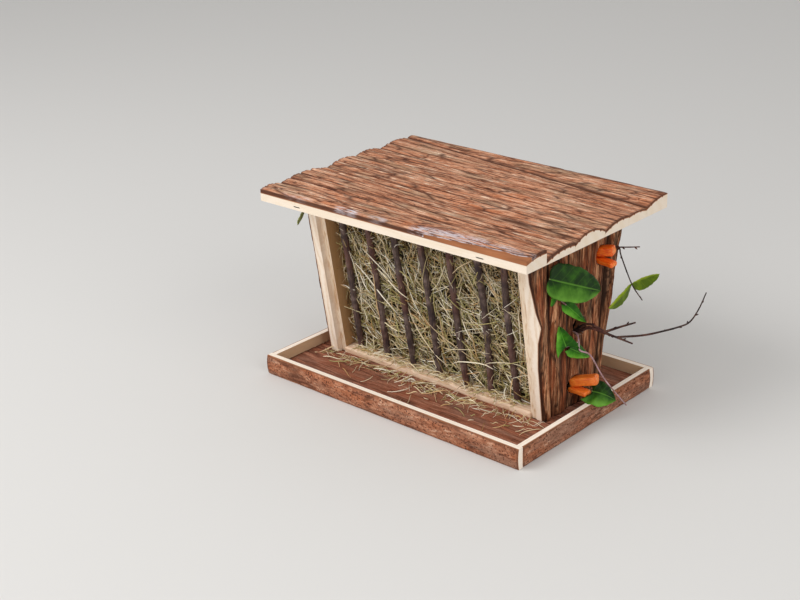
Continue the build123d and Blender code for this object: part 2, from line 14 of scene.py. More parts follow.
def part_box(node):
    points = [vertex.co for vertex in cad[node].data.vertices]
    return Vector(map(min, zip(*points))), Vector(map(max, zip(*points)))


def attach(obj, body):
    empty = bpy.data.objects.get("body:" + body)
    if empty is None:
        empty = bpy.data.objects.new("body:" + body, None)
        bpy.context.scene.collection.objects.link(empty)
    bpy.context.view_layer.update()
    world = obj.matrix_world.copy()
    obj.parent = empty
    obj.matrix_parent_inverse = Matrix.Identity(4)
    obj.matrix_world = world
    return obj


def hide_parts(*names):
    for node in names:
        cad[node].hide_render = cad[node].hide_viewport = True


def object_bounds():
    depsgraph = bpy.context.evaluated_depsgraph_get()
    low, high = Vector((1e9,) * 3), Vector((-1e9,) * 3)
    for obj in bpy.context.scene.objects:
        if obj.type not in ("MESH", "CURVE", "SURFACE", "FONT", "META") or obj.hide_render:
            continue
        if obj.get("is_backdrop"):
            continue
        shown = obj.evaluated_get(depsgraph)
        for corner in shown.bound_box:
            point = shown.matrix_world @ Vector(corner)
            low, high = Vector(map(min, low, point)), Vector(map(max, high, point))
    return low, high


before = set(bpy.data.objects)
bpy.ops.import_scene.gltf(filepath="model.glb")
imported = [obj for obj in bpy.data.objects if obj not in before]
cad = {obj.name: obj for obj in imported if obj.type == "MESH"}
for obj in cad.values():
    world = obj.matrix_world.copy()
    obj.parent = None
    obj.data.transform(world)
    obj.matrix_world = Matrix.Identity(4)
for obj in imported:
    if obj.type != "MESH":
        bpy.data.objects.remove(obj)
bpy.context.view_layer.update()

# ---------------- camera
# The camera stands where the photographer stood, in front of the right corner and looking down.
camera_place = Vector((1.04018, -1.21575, 0.77494))
camera_turn = math.radians(42.95)
camera_dip = math.radians(22.59)
camera_roll = math.radians(-2.12)
forward = Vector((-math.sin(camera_turn) * math.cos(camera_dip),
                  math.cos(camera_turn) * math.cos(camera_dip), -math.sin(camera_dip)))
level = Vector((math.cos(camera_turn), math.sin(camera_turn), 0))
upright = level.cross(forward)
across_view = level * math.cos(camera_roll) + upright * math.sin(camera_roll)
up_view = upright * math.cos(camera_roll) - level * math.sin(camera_roll)
bpy.ops.object.camera_add()
camera = bpy.context.object
camera.name = "camera"
camera.matrix_world = Matrix.Translation(camera_place) @ Matrix(
    (across_view, up_view, -forward)).transposed().to_4x4()
camera.data.lens = 64.06
camera.data.sensor_width = 36
camera.data.clip_start = 0.05
bpy.context.scene.camera = camera

# ---------------- tray
# The tray is four narrow boards, sawn through a log with the bark left on the outer face, and
# three floor boards with the bark up. Planed edges and ends are pale softwood.


def linear(code):
    """A colour written as sRGB hex, as the linear RGBA that a shader takes."""
    parts = [int(code[i:i + 2], 16) / 255 for i in (1, 3, 5)]
    return [p / 12.92 if p <= 0.04045 else ((p + 0.055) / 1.055) ** 2.4 for p in parts] + [1]


def fill(target, inputs):
    """Sets inputs of a node to values, or links them to sockets or to a node's first output."""
    for socket, value in dict(inputs).items():
        if isinstance(value, bpy.types.Node):
            value = next(output for output in value.outputs if output.enabled)
        if isinstance(value, bpy.types.NodeSocket):
            target.id_data.links.new(value, target.inputs[socket])
        else:
            target.inputs[socket].default_value = value


def node(tree, kind, inputs=(), stops=(), **settings):
    """Adds a node with its settings and inputs. Stops are the places and colours of a ramp."""
    made = tree.nodes.new("ShaderNode" + kind)
    for setting, value in settings.items():
        setattr(made, setting, value)
    fill(made, inputs)
    for index, (place, code) in enumerate(stops):
        if index > 1:
            made.color_ramp.elements.new(place)
        made.color_ramp.elements[index].position = place
        made.color_ramp.elements[index].color = linear(code)
    return made


def cover(tree, below, above, value, start, full, share=1.0):
    """Lays a colour over another as a value goes from start to full, up to a share of its own."""
    part = node(tree, "MapRange", {
        "Value": value, "From Min": start, "From Max": full, "To Max": share})
    return node(tree, "Mix", {"Factor": part, "A": below, "B": above}, data_type="RGBA")


def streaked(tree, place, scale, detail, **more):
    """Noise with a scale of its own along each axis, so that it is drawn out along a piece."""
    drawn_out = node(tree, "Mapping", {"Vector": place, "Scale": scale})
    return node(tree, "TexNoise", {"Vector": drawn_out, "Scale": 1.0, "Detail": detail, **more})


def new_material(name):
    """An empty material and its shader, ready for links."""
    made = bpy.data.materials.new(name)
    made.use_nodes = True
    return made, made.node_tree, made.node_tree.nodes["Principled BSDF"]


def bark_material(name, tones, red, grey, fibre_size, cracking, pitting, inner_bark, wood,
                  wood_line):
    """Rough-sawn softwood with its bark on: fibrous bark outside with long cracks, a smooth inner
    bark below it, and pale wood where the saw went through. It is all matt."""
    made, tree, shader = new_material(name)
    grain = node(tree, "Attribute", attribute_name="grain").outputs["Vector"]
    under, relief_shade, bare = (node(tree, "Attribute", attribute_name=carried).outputs["Fac"]
                           for carried in ("under", "relief_shade", "bare"))
    # the fibres run along the board and wander a few millimetres sideways
    wide = streaked(tree, grain, (9, 30, 30), 1.0)
    sideways = node(tree, "VectorMath", {0: wide.outputs["Color"], 1: (0.0, 0.007, 0.0)},
                    operation="MULTIPLY")
    wandered = node(tree, "VectorMath", {0: grain, 1: sideways}, operation="ADD")
    fibre_length, fibre_width = fibre_size
    fibre = streaked(tree, wandered, (1 / fibre_length, 1 / fibre_width, 400), 4.0,
                     Roughness=0.68)
    strand = streaked(tree, wandered, (0.3 / fibre_length, 0.25 / fibre_width, 90), 3.0)
    fibres = node(tree, "Math", {0: strand, 1: 0.6, 2: fibre}, operation="MULTIPLY_ADD")
    spread = node(tree, "MapRange", {"Value": fibres, "From Min": 0.6, "From Max": 1.0})
    skin = node(tree, "ValToRGB", {"Fac": spread}, tones)
    # patches where the outer flakes came off are redder, others are weathered grey
    patch = streaked(tree, wandered, (13, 75, 60), 2.0)
    skin = cover(tree, skin, linear(red), patch, 0.53, 0.66, 0.42)
    skin = cover(tree, skin, linear(grey), patch, 0.46, 0.36, 0.55)
    # long thin cracks along the board
    crack = streaked(tree, wandered, (9, 130, 90), 1.0)
    off_line = node(tree, "Math", {0: crack, 1: 0.5}, operation="SUBTRACT")
    near_line = node(tree, "Math", {0: off_line}, operation="ABSOLUTE")
    # the bark broke into long plates with dark seams round them
    plate_place = node(tree, "Mapping", {"Vector": wandered, "Scale": (9, 120, 60)})
    plate = node(tree, "TexVoronoi", {"Vector": plate_place, "Scale": 1.0},
                 feature="DISTANCE_TO_EDGE")
    # small round pits, most on smooth bark
    dots = node(tree, "TexNoise", {"Vector": grain, "Scale": 420.0, "Detail": 1.0})
    # a crack, a seam, a pit and a low place are each dark, and the darkest of them shows; in a
    # crack, a seam and a low place the dark is painted shade
    dark = None
    for value, low_end, high_end, at_low, at_high in (
            (near_line, 0.0, 0.018, cracking, 0.0), (plate, 0.0, 0.07, cracking, 0.0),
            (dots, 0.57, 0.66, 0.0, pitting), (relief_shade, 0.08, 0.5, 0.92, 0.0)):
        part = node(tree, "MapRange", {"Value": value, "From Min": low_end, "From Max": high_end,
                                       "To Min": at_low, "To Max": at_high})
        dark = node(tree, "Math", {0: dark, 1: part}, operation="MAXIMUM") if dark else part
    skin = node(tree, "Mix", {"Factor": dark, "A": skin, "B": linear(tones[0][1])},
                data_type="RGBA")
    # painted highlight: the high places of the bark are painted paler
    skin = cover(tree, skin, linear(tones[-1][1]), relief_shade, 0.62, 1.0, 0.45)
    # loose outer flakes, bleached to a lilac grey
    loose = node(tree, "MapRange", {"Value": bare, "From Min": 0.05, "From Max": 0.35})
    flaked = node(tree, "MapRange", {"Value": fibre, "From Min": 0.44, "From Max": 0.56})
    bleach = node(tree, "Math", {0: loose, 1: flaked}, operation="MULTIPLY")
    skin = node(tree, "Mix", {"Factor": bleach, "A": skin, "B": linear("#CFC4C8")},
                data_type="RGBA")
    # softwood: late-wood lines about 2 mm apart round the middle of the log
    bend = node(tree, "TexNoise", {"Vector": grain, "Scale": 16.0, "Detail": 1.0})
    drift = node(tree, "VectorMath", {0: bend.outputs["Color"], 1: (0.0, 0.006, 0.006)},
                 operation="MULTIPLY")
    flat = node(tree, "VectorMath", {0: grain, 1: (1, 0.1, 1)}, operation="MULTIPLY")
    bent = node(tree, "VectorMath", {0: flat, 1: drift}, operation="ADD")
    rings = node(tree, "TexWave", {"Vector": bent, "Scale": 150.0, "Distortion": 1.5,
                                   "Detail": 2.0, "Detail Scale": 2.0},
                 wave_type="RINGS", rings_direction="X")
    wood_grain = streaked(tree, grain, (25, 900, 900), 3.0)
    line = node(tree, "Math", {0: rings.outputs["Fac"], 1: wood_grain}, operation="MULTIPLY")
    sawn = cover(tree, linear(wood), linear(wood_line), line, 0.1, 0.75, 0.75)
    # the inner bark, bare where the outer bark came off and below it at an edge
    inner_tone = node(tree, "ValToRGB", {"Fac": strand}, zip((0.3, 0.7), inner_bark))
    skin = cover(tree, skin, inner_tone, bare, 0.6, 0.7)
    skin = cover(tree, skin, inner_tone, under, -0.0013, -0.0008)
    in_wood = node(tree, "MapRange", {"Value": under, "From Min": -0.0003, "From Max": 0.0003})
    colour = node(tree, "Mix", {"Factor": in_wood, "A": skin, "B": sawn}, data_type="RGBA")
    rough = node(tree, "Mix", {"Factor": in_wood, "A": fibres, "B": wood_grain},
                 data_type="FLOAT")
    bump = node(tree, "Bump", {"Height": rough, "Strength": 0.7, "Distance": 0.0008})
    fill(shader, {"Base Color": colour, "Normal": bump, "Roughness": 0.84,
                  "Specular IOR Level": 0.22})
    return made


def clamp(value, low, high):
    """A value, or the end of its range that it lies beyond."""
    return max(low, min(high, value))


def bark_relief(along, across, seed, flake, crack_pitch):
    """How far the bark stands out at a place given in millimetres, and a tone from 0 in a crack to
    1 on a ridge, which is painted shade in the cracks, at the foot of each flake's step and on
    lower layers. Flakes lie over each other in long layers, split by cracks along them."""
    lane = (across + 2.6 * noise((along / 140, across / 40, seed))
            + 0.7 * noise((along / 33, across / 11, seed + 7)))
    layers = 2.4 * (1 + noise((along / flake[0], lane / flake[1], seed + 3))
                    + 0.45 * noise((along / flake[0] * 2.3, lane / flake[1] * 2.1, seed + 4)))
    layer = math.floor(layers)
    rise = min(1.0, (layers - layer) / 0.3)
    fibre = (noise((along / 30, lane / 1.5, seed + 2))
             + 0.6 * noise((along / 13, lane / 0.8, seed + 5)))
    line = abs(noise((along / 130, lane / crack_pitch, seed + 11)))
    crack = min(1.0, line / 0.07)
    crack = crack * crack * (3 - 2 * crack)
    height = 0.34 * (layer + rise - 2.4) + 0.2 * fibre - 0.75 * (1 - crack)
    # the tone is painted shade: darker in cracks, at the foot of each step and on lower layers,
    # paler on ridges
    tone = 0.24 + 0.36 * crack + 0.1 * (layer - 2) - 0.14 * (1 - rise) + 0.26 * fibre
    return height, clamp(tone, 0.0, 1.0)


def deselect():
    """Nothing selected, ready for the next primitive."""
    bpy.ops.object.select_all(action="DESELECT")


def select(piece, *others):
    """Only these pieces selected, the first of them active."""
    deselect()
    for chosen in (piece, *others):
        chosen.select_set(True)
    bpy.context.view_layer.objects.active = piece


def smooth(angle):
    """Turns the active piece's faces outwards and shades it smooth, but for sharper edges."""
    bpy.ops.object.mode_set(mode="EDIT")
    bpy.ops.mesh.select_all(action="SELECT")
    bpy.ops.mesh.normals_make_consistent(inside=False)
    bpy.ops.object.mode_set(mode="OBJECT")
    bpy.ops.object.shade_smooth_by_angle(angle=math.radians(angle))


def cut_blank(name, cuts):
    """A cube from the origin to 1, its edges cut up so that its faces can be carved, its back left
    as one face."""
    deselect()
    bpy.ops.mesh.primitive_cube_add(size=1, location=(0.5, 0.5, 0.5))
    blank = bpy.context.object
    blank.name = name
    bpy.ops.object.transform_apply(location=True, rotation=False, scale=False)
    bpy.ops.object.mode_set(mode="EDIT")
    bpy.ops.mesh.select_mode(type="EDGE")
    for axis, count in enumerate(cuts):
        bpy.ops.mesh.select_all(action="DESELECT")
        edit = bmesh.from_edit_mesh(blank.data)
        for edge in edit.edges:
            run = edge.verts[1].co - edge.verts[0].co
            edge.select = abs(run[axis]) > 0.9 * run.length
        bmesh.update_edit_mesh(blank.data)
        if count:
            bpy.ops.mesh.subdivide(number_cuts=count)
    bpy.ops.mesh.select_mode(type="FACE")
    bpy.ops.mesh.select_all(action="DESELECT")
    edit = bmesh.from_edit_mesh(blank.data)
    for face in edit.faces:
        face.select = face.normal.z < -0.9
    bmesh.update_edit_mesh(blank.data)
    bpy.ops.mesh.dissolve_faces()
    bpy.ops.object.mode_set(mode="OBJECT")
    return blank


def add_attribute(piece, name, kind, values):
    """Stores a value for each corner point of a piece, for its material to read."""
    made = piece.data.attributes.new(name, kind, "POINT")
    made.data.foreach_set("vector" if kind == "FLOAT_VECTOR" else "value",
                          np.array(values, np.float32).ravel())


def board_outline(stands_for, axes, cut):
    """The face of a carried-over board at one cut across it: where the board's back is, places
    across the board, and how far the face stands out from the back at each."""
    along_axis, across_axis, out_axis, out_way = axes
    low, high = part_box(stands_for)
    back = low[out_axis] if out_way > 0 else high[out_axis]
    faces = {}
    for vertex in cad[stands_for].data.vertices:
        if abs(vertex.co[along_axis] - cut) < 1e-5:
            across = round(vertex.co[across_axis], 5)
            faces[across] = max(faces.get(across, 0), (vertex.co[out_axis] - back) * out_way)
    places = sorted(faces)
    return back, places, [faces[place] for place in places]


def bark_board(stands_for, axes, cuts, fineness, bark, roughness, seed, flake, crack_pitch,
               bare_strip=0, knots=(), holes=()):
    """A board with bark on its face, over the carried-over board that it stands for. Axes are
    those along, across and out of the board. The bark is some millimetres thick on the wood. A
    bare strip runs along the near edge, and a knot is a place along and across, and its reach."""
    along_axis, across_axis, out_axis, out_way = axes
    outlines = [board_outline(stands_for, axes, cut) for cut in cuts]
    board = cut_blank(f"{stands_for}_bark", fineness)
    spot = np.array([v.co for v in board.data.vertices])
    along = cuts[0] + spot[:, 0] * (cuts[-1] - cuts[0])
    weights = [np.interp(along, cuts, row) for row in np.eye(len(cuts))]
    near = sum(w * places[0] for w, (_, places, _) in zip(weights, outlines))
    far = sum(w * places[-1] for w, (_, places, _) in zip(weights, outlines))
    across = near + (far - near) * spot[:, 1]
    width = far[0] - near[0]

    def face_at(share):
        """How far the carried-over face stands out at a share of the way across."""
        return sum(w * np.interp(places[0] + (places[-1] - places[0]) * share, places, heights)
                   for w, (_, places, heights) in zip(weights, outlines))

    # ribs and furrows wander sideways by about a millimetre
    wander = np.array([noise((a * 16, b * 25, seed)) for a, b in zip(along, across)])
    share = np.clip(spot[:, 1] + 0.0012 * wander / (far - near) * (spot[:, 1] % 1 > 0), 0, 1)
    face = face_at(share)
    # a furrow is lower than the mean of the face round it, and 0.7 mm is a deep one
    around = sum(face_at(np.clip(share + step, 0, 1)) for step in (-0.06, -0.03, 0.03, 0.06)) / 4
    furrows = np.clip((around - face) * 1000 / 0.7, 0, 1)
    back = outlines[0][0]
    worn_edge = 0.002
    places, unders, tones, bares = [], [], [], []
    for vertex, (x, y, z), a, b, top, furrow in zip(
            board.data.vertices, spot, along, across, face, furrows):
        lift, tone = (bark_relief(a * 1000, b * 1000, seed, flake, crack_pitch) if z > 0
                      else (0, 0.5))
        lift *= roughness
        # the furrows are painted darker: painted shade
        tone -= 0.45 * furrow
        for knot_along, knot_across, reach in knots:
            near_knot = math.exp(-(((a - knot_along) / reach) ** 2
                                   + ((b - knot_across) / reach * 1.6) ** 2))
            gnarl = noise((a * 260, b * 420, seed))
            lift += near_knot * (0.3 + 0.7 * gnarl)
            tone += near_knot * (0.7 * gnarl - 0.28)
        # the bark is worn and dark along the side edges, and sawn off at the ends
        side = min(y, 1 - y) * width
        if side < worn_edge:
            lift -= 0.7 * (1 - side / worn_edge)
            tone -= 0.6 * (1 - side / worn_edge)
        if min(x, 1 - x) < 1e-6:
            lift -= 0.35 * (1 + noise((b * 300, seed, 4)))
            tone = 0.08
        loose = 0
        if bare_strip > 0:
            # the strip widens towards the end of the board; behind it, the bark starts at a torn
            # edge, painted dark as the shadow of its step, with loose flakes, most of them 0.1 m
            # from the middle
            strip = bare_strip * clamp((a - 0.06) / 0.14, 0, 1)
            torn = y * width - strip * (1 + 0.4 * noise((a * 35, seed, 1)))
            most = math.exp(-((a - 0.1) / 0.06) ** 2)
            loose = (0.5 * max(0, 1 - abs(torn - 0.004 - 0.004 * most) / (0.006 + 0.006 * most))
                     * clamp(0.3 + 0.9 * most + 2.2 * noise((a * 25, seed, 6)), 0, 1))
            if torn < 0:
                lift, loose = -0.9 + 0.1 * noise((a * 60, b * 200, seed)), 1
            elif torn < 0.0007 + 0.15 * strip:
                # painted shadow along the step where the rough bark begins
                lift, tone = 0.1, 0.05
        out = z * top + max(-1.6, lift) / 1000 * z ** 3
        co = [0, 0, 0]
        co[along_axis], co[across_axis], co[out_axis] = a, b, back + out_way * out
        vertex.co = co
        # each board is cut from another part of the pattern
        places.append((a + seed * 0.37, b + seed * 0.011, out))
        unders.append(top - bark / 1000 - out)
        tones.append(tone)
        bares.append(loose)
    add_attribute(board, "grain", "FLOAT_VECTOR", places)
    add_attribute(board, "under", "FLOAT", unders)
    add_attribute(board, "relief_shade", "FLOAT", tones)
    add_attribute(board, "bare", "FLOAT", bares)
    for hole in holes:
        drill(board, hole)
    select(board)
    smooth(50)
    return board


def drill(board, hole):
    """Cuts a round hole through a board: its middle, radius and half length along X."""
    middle, radius, reach = hole
    deselect()
    bpy.ops.mesh.primitive_cylinder_add(vertices=40, radius=radius, depth=2 * reach,
                                        location=middle, rotation=(0, math.radians(90), 0))
    drill_bit = bpy.context.object
    select(board)
    cut = board.modifiers.new("treat_hole", "BOOLEAN")
    cut.operation = "DIFFERENCE"
    cut.object = drill_bit
    cut.solver = "EXACT"
    bpy.ops.object.modifier_apply(modifier=cut.name)
    bpy.data.objects.remove(drill_bit)
    # the bore's wall is painted dark brown: painted shade inside the hole
    attributes = board.data.attributes
    for vertex in board.data.vertices:
        if abs(math.hypot(vertex.co.y - middle[1], vertex.co.z - middle[2]) - radius) < 1e-5:
            attributes["under"].data[vertex.index].value = -0.0006
            attributes["relief_shade"].data[vertex.index].value = 0.3


def dress(piece, material, body, slot, *nodes):
    """Gives a piece its material and its body, and hides the nodes that it stands for. The slot is
    not used.
    """
    piece.data.materials.clear()
    piece.data.materials.append(material)
    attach(piece, body)
    if nodes:
        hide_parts(*nodes)


def shade_inner_faces(made, inner_shade):
    """Faces that look into the feeder are painted darker: painted shade, where the box and its lid
    shade them.
    """
    tree = made.node_tree
    shader = tree.nodes["Principled BSDF"]
    planed = shader.inputs["Base Color"].links[0].from_socket
    place = node(tree, "TexCoord")
    level = node(tree, "VectorMath", {0: place.outputs["Object"], 1: (1, 1, 0)},
                 operation="MULTIPLY")
    outward = node(tree, "VectorMath", {0: place.outputs["Normal"], 1: level},
                   operation="DOT_PRODUCT")
    fill(shader, {"Base Color": cover(tree, planed, linear(inner_shade), outward, -0.05, -0.08,
                                      0.9)})


rail_bark = bark_material(
    "spruce_edging_bark_on", ((0.0, "#4E2A1C"), (0.25, "#8F583F"), (0.55, "#A76D50"),
                              (0.8, "#B78163"), (1.0, "#CFA388")),
    red="#B8683E", grey="#8C6A58", fibre_size=(0.007, 0.0024), cracking=0.25, pitting=0.95,
    inner_bark=("#8F5A3C", "#A9714E"), wood="#FFF1E2", wood_line="#F3E0C9")
# painted shade on the rails' inner faces
shade_inner_faces(rail_bark, "#D8B48C")
floor_bark = bark_material(
    "spruce_floor_board_bark_on", ((0.0, "#4C2A1C"), (0.3, "#87513B"), (0.6, "#9A614A"),
                                   (1.0, "#B9876E")),
    red="#A2583A", grey="#7A5A4C", fibre_size=(0.02, 0.0015), cracking=0.4, pitting=0.4,
    inner_bark=("#7A4B33", "#8A5A3E"), wood="#EFD9BA", wood_line="#D5B084")

# half lengths of the rails and of the floor boards between them
long_rail, short_rail, floor_board = 0.2, 0.1255, 0.192
for rail_name, axes, half_length, along_cuts, seed in (
        ("front", (0, 2, 1, -1), long_rail, 110, 2), ("back", (0, 2, 1, 1), long_rail, 110, 4),
        ("left", (1, 2, 0, -1), short_rail, 80, 6), ("right", (1, 2, 0, 1), short_rail, 80, 8)):
    rail = bark_board(f"tray_{rail_name}_rail", axes, (-half_length, half_length),
                      (along_cuts, 20, 3), 1.5, 0.3, seed, flake=(18, 7), crack_pitch=30)
    dress(rail, rail_bark, "box", "bark_board", f"tray_{rail_name}_rail")
for number in (1, 2, 3):
    board = bark_board(f"floor_board_{number}", (0, 1, 2, 1), (-floor_board, floor_board),
                       (95, 70, 1), 2.0, 0.45, 20 + number, flake=(60, 9), crack_pitch=14)
    dress(board, floor_bark, "box", "bark_board", f"floor_board_{number}")

# ---------------- side panels
# Each panel is four upright slabs, wider at the head than at the foot, with stringy dark bark
# outside. Their sawn front and back edges show as pale stripes. Two slabs have treat holes.
panel_bark = bark_material(
    "spruce_slab_bark_on", ((0.04, "#2A1408"), (0.34, "#683A22"), (0.6, "#985E3C"),
                            (0.95, "#DFA67B")),
    red="#A8502A", grey="#75604C", fibre_size=(0.026, 0.0031), cracking=0.95, pitting=0.1,
    inner_bark=("#7A4A30", "#935E3E"), wood="#F6E6D4", wood_line="#DDBE9C")
# the box stands on the floor boards, a little behind the middle of the tray
floor_top, box_height, box_middle = 0.012, 0.215, 0.012
panel_foot, panel_head = floor_top, 0.227
panel_inner = 0.157
hole_radius = 0.012
drill_middle, drill_reach = panel_inner + 0.007, 0.02
# the slab that each hole goes through, and its middle back along the panel and up
treat_holes = {"front_high": (2, -0.023, 0.178), "back_high": (3, 0.059, 0.188),
               "middle": (3, 0.020, 0.112), "low": (3, 0.014, 0.039)}
# heights above the floor where a knot bulges from the front edge of the right panel
knot_heights = (0.070, 0.104, 0.1257, 0.142, 0.160, 0.178)
# a rough knot near the back edge: its height, its place back and its reach
back_knot = (0.150, 0.079, 0.028)
# how finely each slab is cut up across
slab_cuts = {1: 40, 2: 52, 3: 90, 4: 30}

for side_name, side in (("left", -1), ("right", 1)):
    for number, across_cuts in slab_cuts.items():
        cuts = [panel_foot, panel_head]
        if (side, number) == (1, 1):
            cuts[1:1] = [floor_top + height for height in knot_heights]
        holes = [((side * drill_middle, y, z), hole_radius, drill_reach)
                 for through, y, z in treat_holes.values() if through == number]
        slab = bark_board(f"{side_name}_side_slab_{number}", (2, 1, 0, side), cuts,
                          (80, across_cuts, 3), 2.6, 1.5, 31 + 5 * number + side, flake=(110, 8),
                          crack_pitch=10, knots=[back_knot] if number > 2 else [], holes=holes)
        dress(slab, panel_bark, "box", "bark_board", f"{side_name}_side_slab_{number}")

# ---------------- rack frames
# Posts, rails and battens are planed laths of pale softwood, with the grain along each lath.


def lath_material(name, scale, pale, line, dark):
    """Planed softwood lath: pale cream with fine streaks along the grain and a few darker lines."""
    made, tree, shader = new_material(name)
    place = node(tree, "TexCoord").outputs["Object"]
    fine_place = node(tree, "Mapping", {"Vector": place, "Scale": scale})
    fine = node(tree, "TexNoise", {
        "Vector": fine_place, "Scale": 1.0, "Detail": 4.0, "Distortion": 0.4})
    broad = node(tree, "TexNoise", {"Vector": fine_place, "Scale": 0.22, "Detail": 2.0})
    streaks = node(tree, "ValToRGB", {"Fac": fine},
                   ((0.3, line), (0.5, pale), (0.62, pale), (0.78, line)))
    colour = cover(tree, streaks, linear(dark), broad, 0.52, 0.72, 0.7)
    bump = node(tree, "Bump", {"Height": fine, "Strength": 0.3, "Distance": 0.0003})
    fill(shader, {"Base Color": colour, "Normal": bump, "Roughness": 0.66,
                  "Specular IOR Level": 0.3})
    return made


upright_lath = lath_material("planed_spruce_upright", (500, 500, 22), "#EDD9C0", "#CFA982",
                             "#B98A5C")
# painted shade on the posts' inner faces
shade_inner_faces(upright_lath, "#B08452")
level_lath = lath_material("planed_spruce_lengthwise", (22, 500, 500), "#F0D6B8", "#DDB58C",
                           "#CB9A72")
waney_lath = lath_material("waney_spruce_strip", (26, 420, 420), "#EBCFB4", "#D3A886", "#B98A68")
cross_lath = lath_material("planed_spruce_crosswise", (500, 22, 500), "#F0D9BA", "#DDB98D",
                           "#C8986A")


def finish_node(name, material):
    """Gives a carried-over node its finish."""
    cad[name].data.materials.clear()
    cad[name].data.materials.append(material)


for face_name, face in (("front", -1), ("back", 1)):
    for side_name in ("left", "right"):
        finish_node(f"{face_name}_{side_name}_post", upright_lath)
    finish_node(f"{face_name}_top_rail", level_lath)
    # the bottom rail is a waney strip: its outer edge follows the log, up to about 3 mm in and
    # 2 mm down
    low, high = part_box(f"{face_name}_bottom_rail")
    rail = cut_blank(f"{face_name}_waney_rail", (90, 6, 4))
    for vertex in rail.data.vertices:
        x, y, z = (low[i] + vertex.co[i] * (high[i] - low[i]) for i in range(3))
        outer = vertex.co.y if face > 0 else 1 - vertex.co.y
        wane = 0.5 + 0.5 * noise((x * 22, face, 3)) + 0.2 * noise((x * 90, face, 4))
        y -= face * outer ** 3 * 0.0028 * wane
        z -= outer ** 4 * vertex.co.z ** 2 * 0.0022 * (1 - 0.5 * wane)
        z += 0.0003 * vertex.co.z * noise((x * 130, y * 300, face))
        vertex.co = (x, y, z)
    rail.data.shade_smooth()
    dress(rail, waney_lath, "box", "sawn_wood", f"{face_name}_bottom_rail")
for side_name in ("left", "right"):
    finish_node(f"{side_name}_lower_batten", cross_lath)
    finish_node(f"{side_name}_upper_batten", cross_lath)

# ---------------- twigs
# Seven hazel twigs stand in each rack, with their thin dark bark on. They are a little crooked
# and swell where side shoots were cut off.


def twig_material(name, bark, dark, pale, red, grain_scale):
    """Thin smooth bark: dull grey-brown, mottled, with pale flecks and fine cracks along it."""
    made, tree, shader = new_material(name)
    place = node(tree, "TexCoord").outputs["Object"]
    mottle = node(tree, "TexNoise", {"Vector": place, "Scale": 90.0, "Detail": 3.0})
    fine = streaked(tree, place, grain_scale, 4.0)
    colour = node(tree, "ValToRGB", {"Fac": mottle}, ((0.32, dark), (0.5, bark), (0.7, pale)))
    broad = node(tree, "TexNoise", {"Vector": place, "Scale": 17.0, "Detail": 0.0})
    colour = cover(tree, colour, linear(red), broad, 0.47, 0.64, 0.45)
    colour = cover(tree, colour, linear(dark), fine, 0.5, 0.35, 0.75)
    bump = node(tree, "Bump", {"Height": fine, "Strength": 0.6, "Distance": 0.0005})
    fill(shader, {"Base Color": colour, "Normal": bump, "Roughness": 0.7,
                  "Specular IOR Level": 0.3})
    return made


twig_bark = twig_material("hazel_twig_bark", "#574640", "#332729", "#7E6C66", "#6E4236",
                          (700, 700, 90))
twig_radius, twig_inset, twig_wobble = 0.0045, 0.0105, 0.0004
twig_foot_z, twig_head_z = 0.015, 0.2152
# millimetres: where each twig's head and foot stand, and its two bends
twig_heads = (-130.5, -87.5, -45.5, -3.5, 41.0, 82.0, 121.5)
twig_feet = (-131.0, -85.0, -41.0, 1.5, 43.5, 82.5, 121.5)
low_bend = (0.4, 1.5, 0.1, 1.3, -1.6, 2.8, -1.2)
high_bend = (1.4, 1.4, -0.3, 0.8, -1.6, 2.9, -2.3)
# from the middle of the box to the face of a rack at its foot, and how much further at its head
rack_foot, rack_lean = 0.054, 0.030


def rack_depth(z):
    """From the middle of the box to the face of a rack at a height."""
    return rack_foot + rack_lean * (z - floor_top) / box_height


def rod(name, points, radii, sides):
    """A round rod through points: a disc, extruded from one point to the next and scaled."""
    deselect()
    way = (points[1] - points[0]).normalized()
    bpy.ops.mesh.primitive_circle_add(vertices=sides, radius=radii[0], fill_type="NGON",
                                      location=points[0],
                                      rotation=way.to_track_quat("Z", "Y").to_euler())
    made = bpy.context.object
    made.name = name
    bpy.ops.object.transform_apply(location=True, rotation=True, scale=True)
    bpy.ops.object.mode_set(mode="EDIT")
    bpy.ops.mesh.select_all(action="SELECT")
    for index in range(1, len(points)):
        before = (points[index] - points[index - 1]).normalized()
        after = points[min(index + 1, len(points) - 1)] - points[index]
        after = after.normalized() if after.length else before
        lean = (before + after).normalized()
        bpy.ops.mesh.extrude_region_move(
            TRANSFORM_OT_translate={"value": points[index] - points[index - 1]})
        edit = bmesh.from_edit_mesh(made.data)
        ring = [v for v in edit.verts if v.select]
        turn = way.rotation_difference(lean)
        swell = radii[index] / radii[index - 1]
        for v in ring:
            v.co = points[index] + (turn @ (v.co - points[index])) * swell
        bmesh.update_edit_mesh(made.data)
        way = lean
    bpy.ops.object.mode_set(mode="OBJECT")
    smooth(60)
    return made


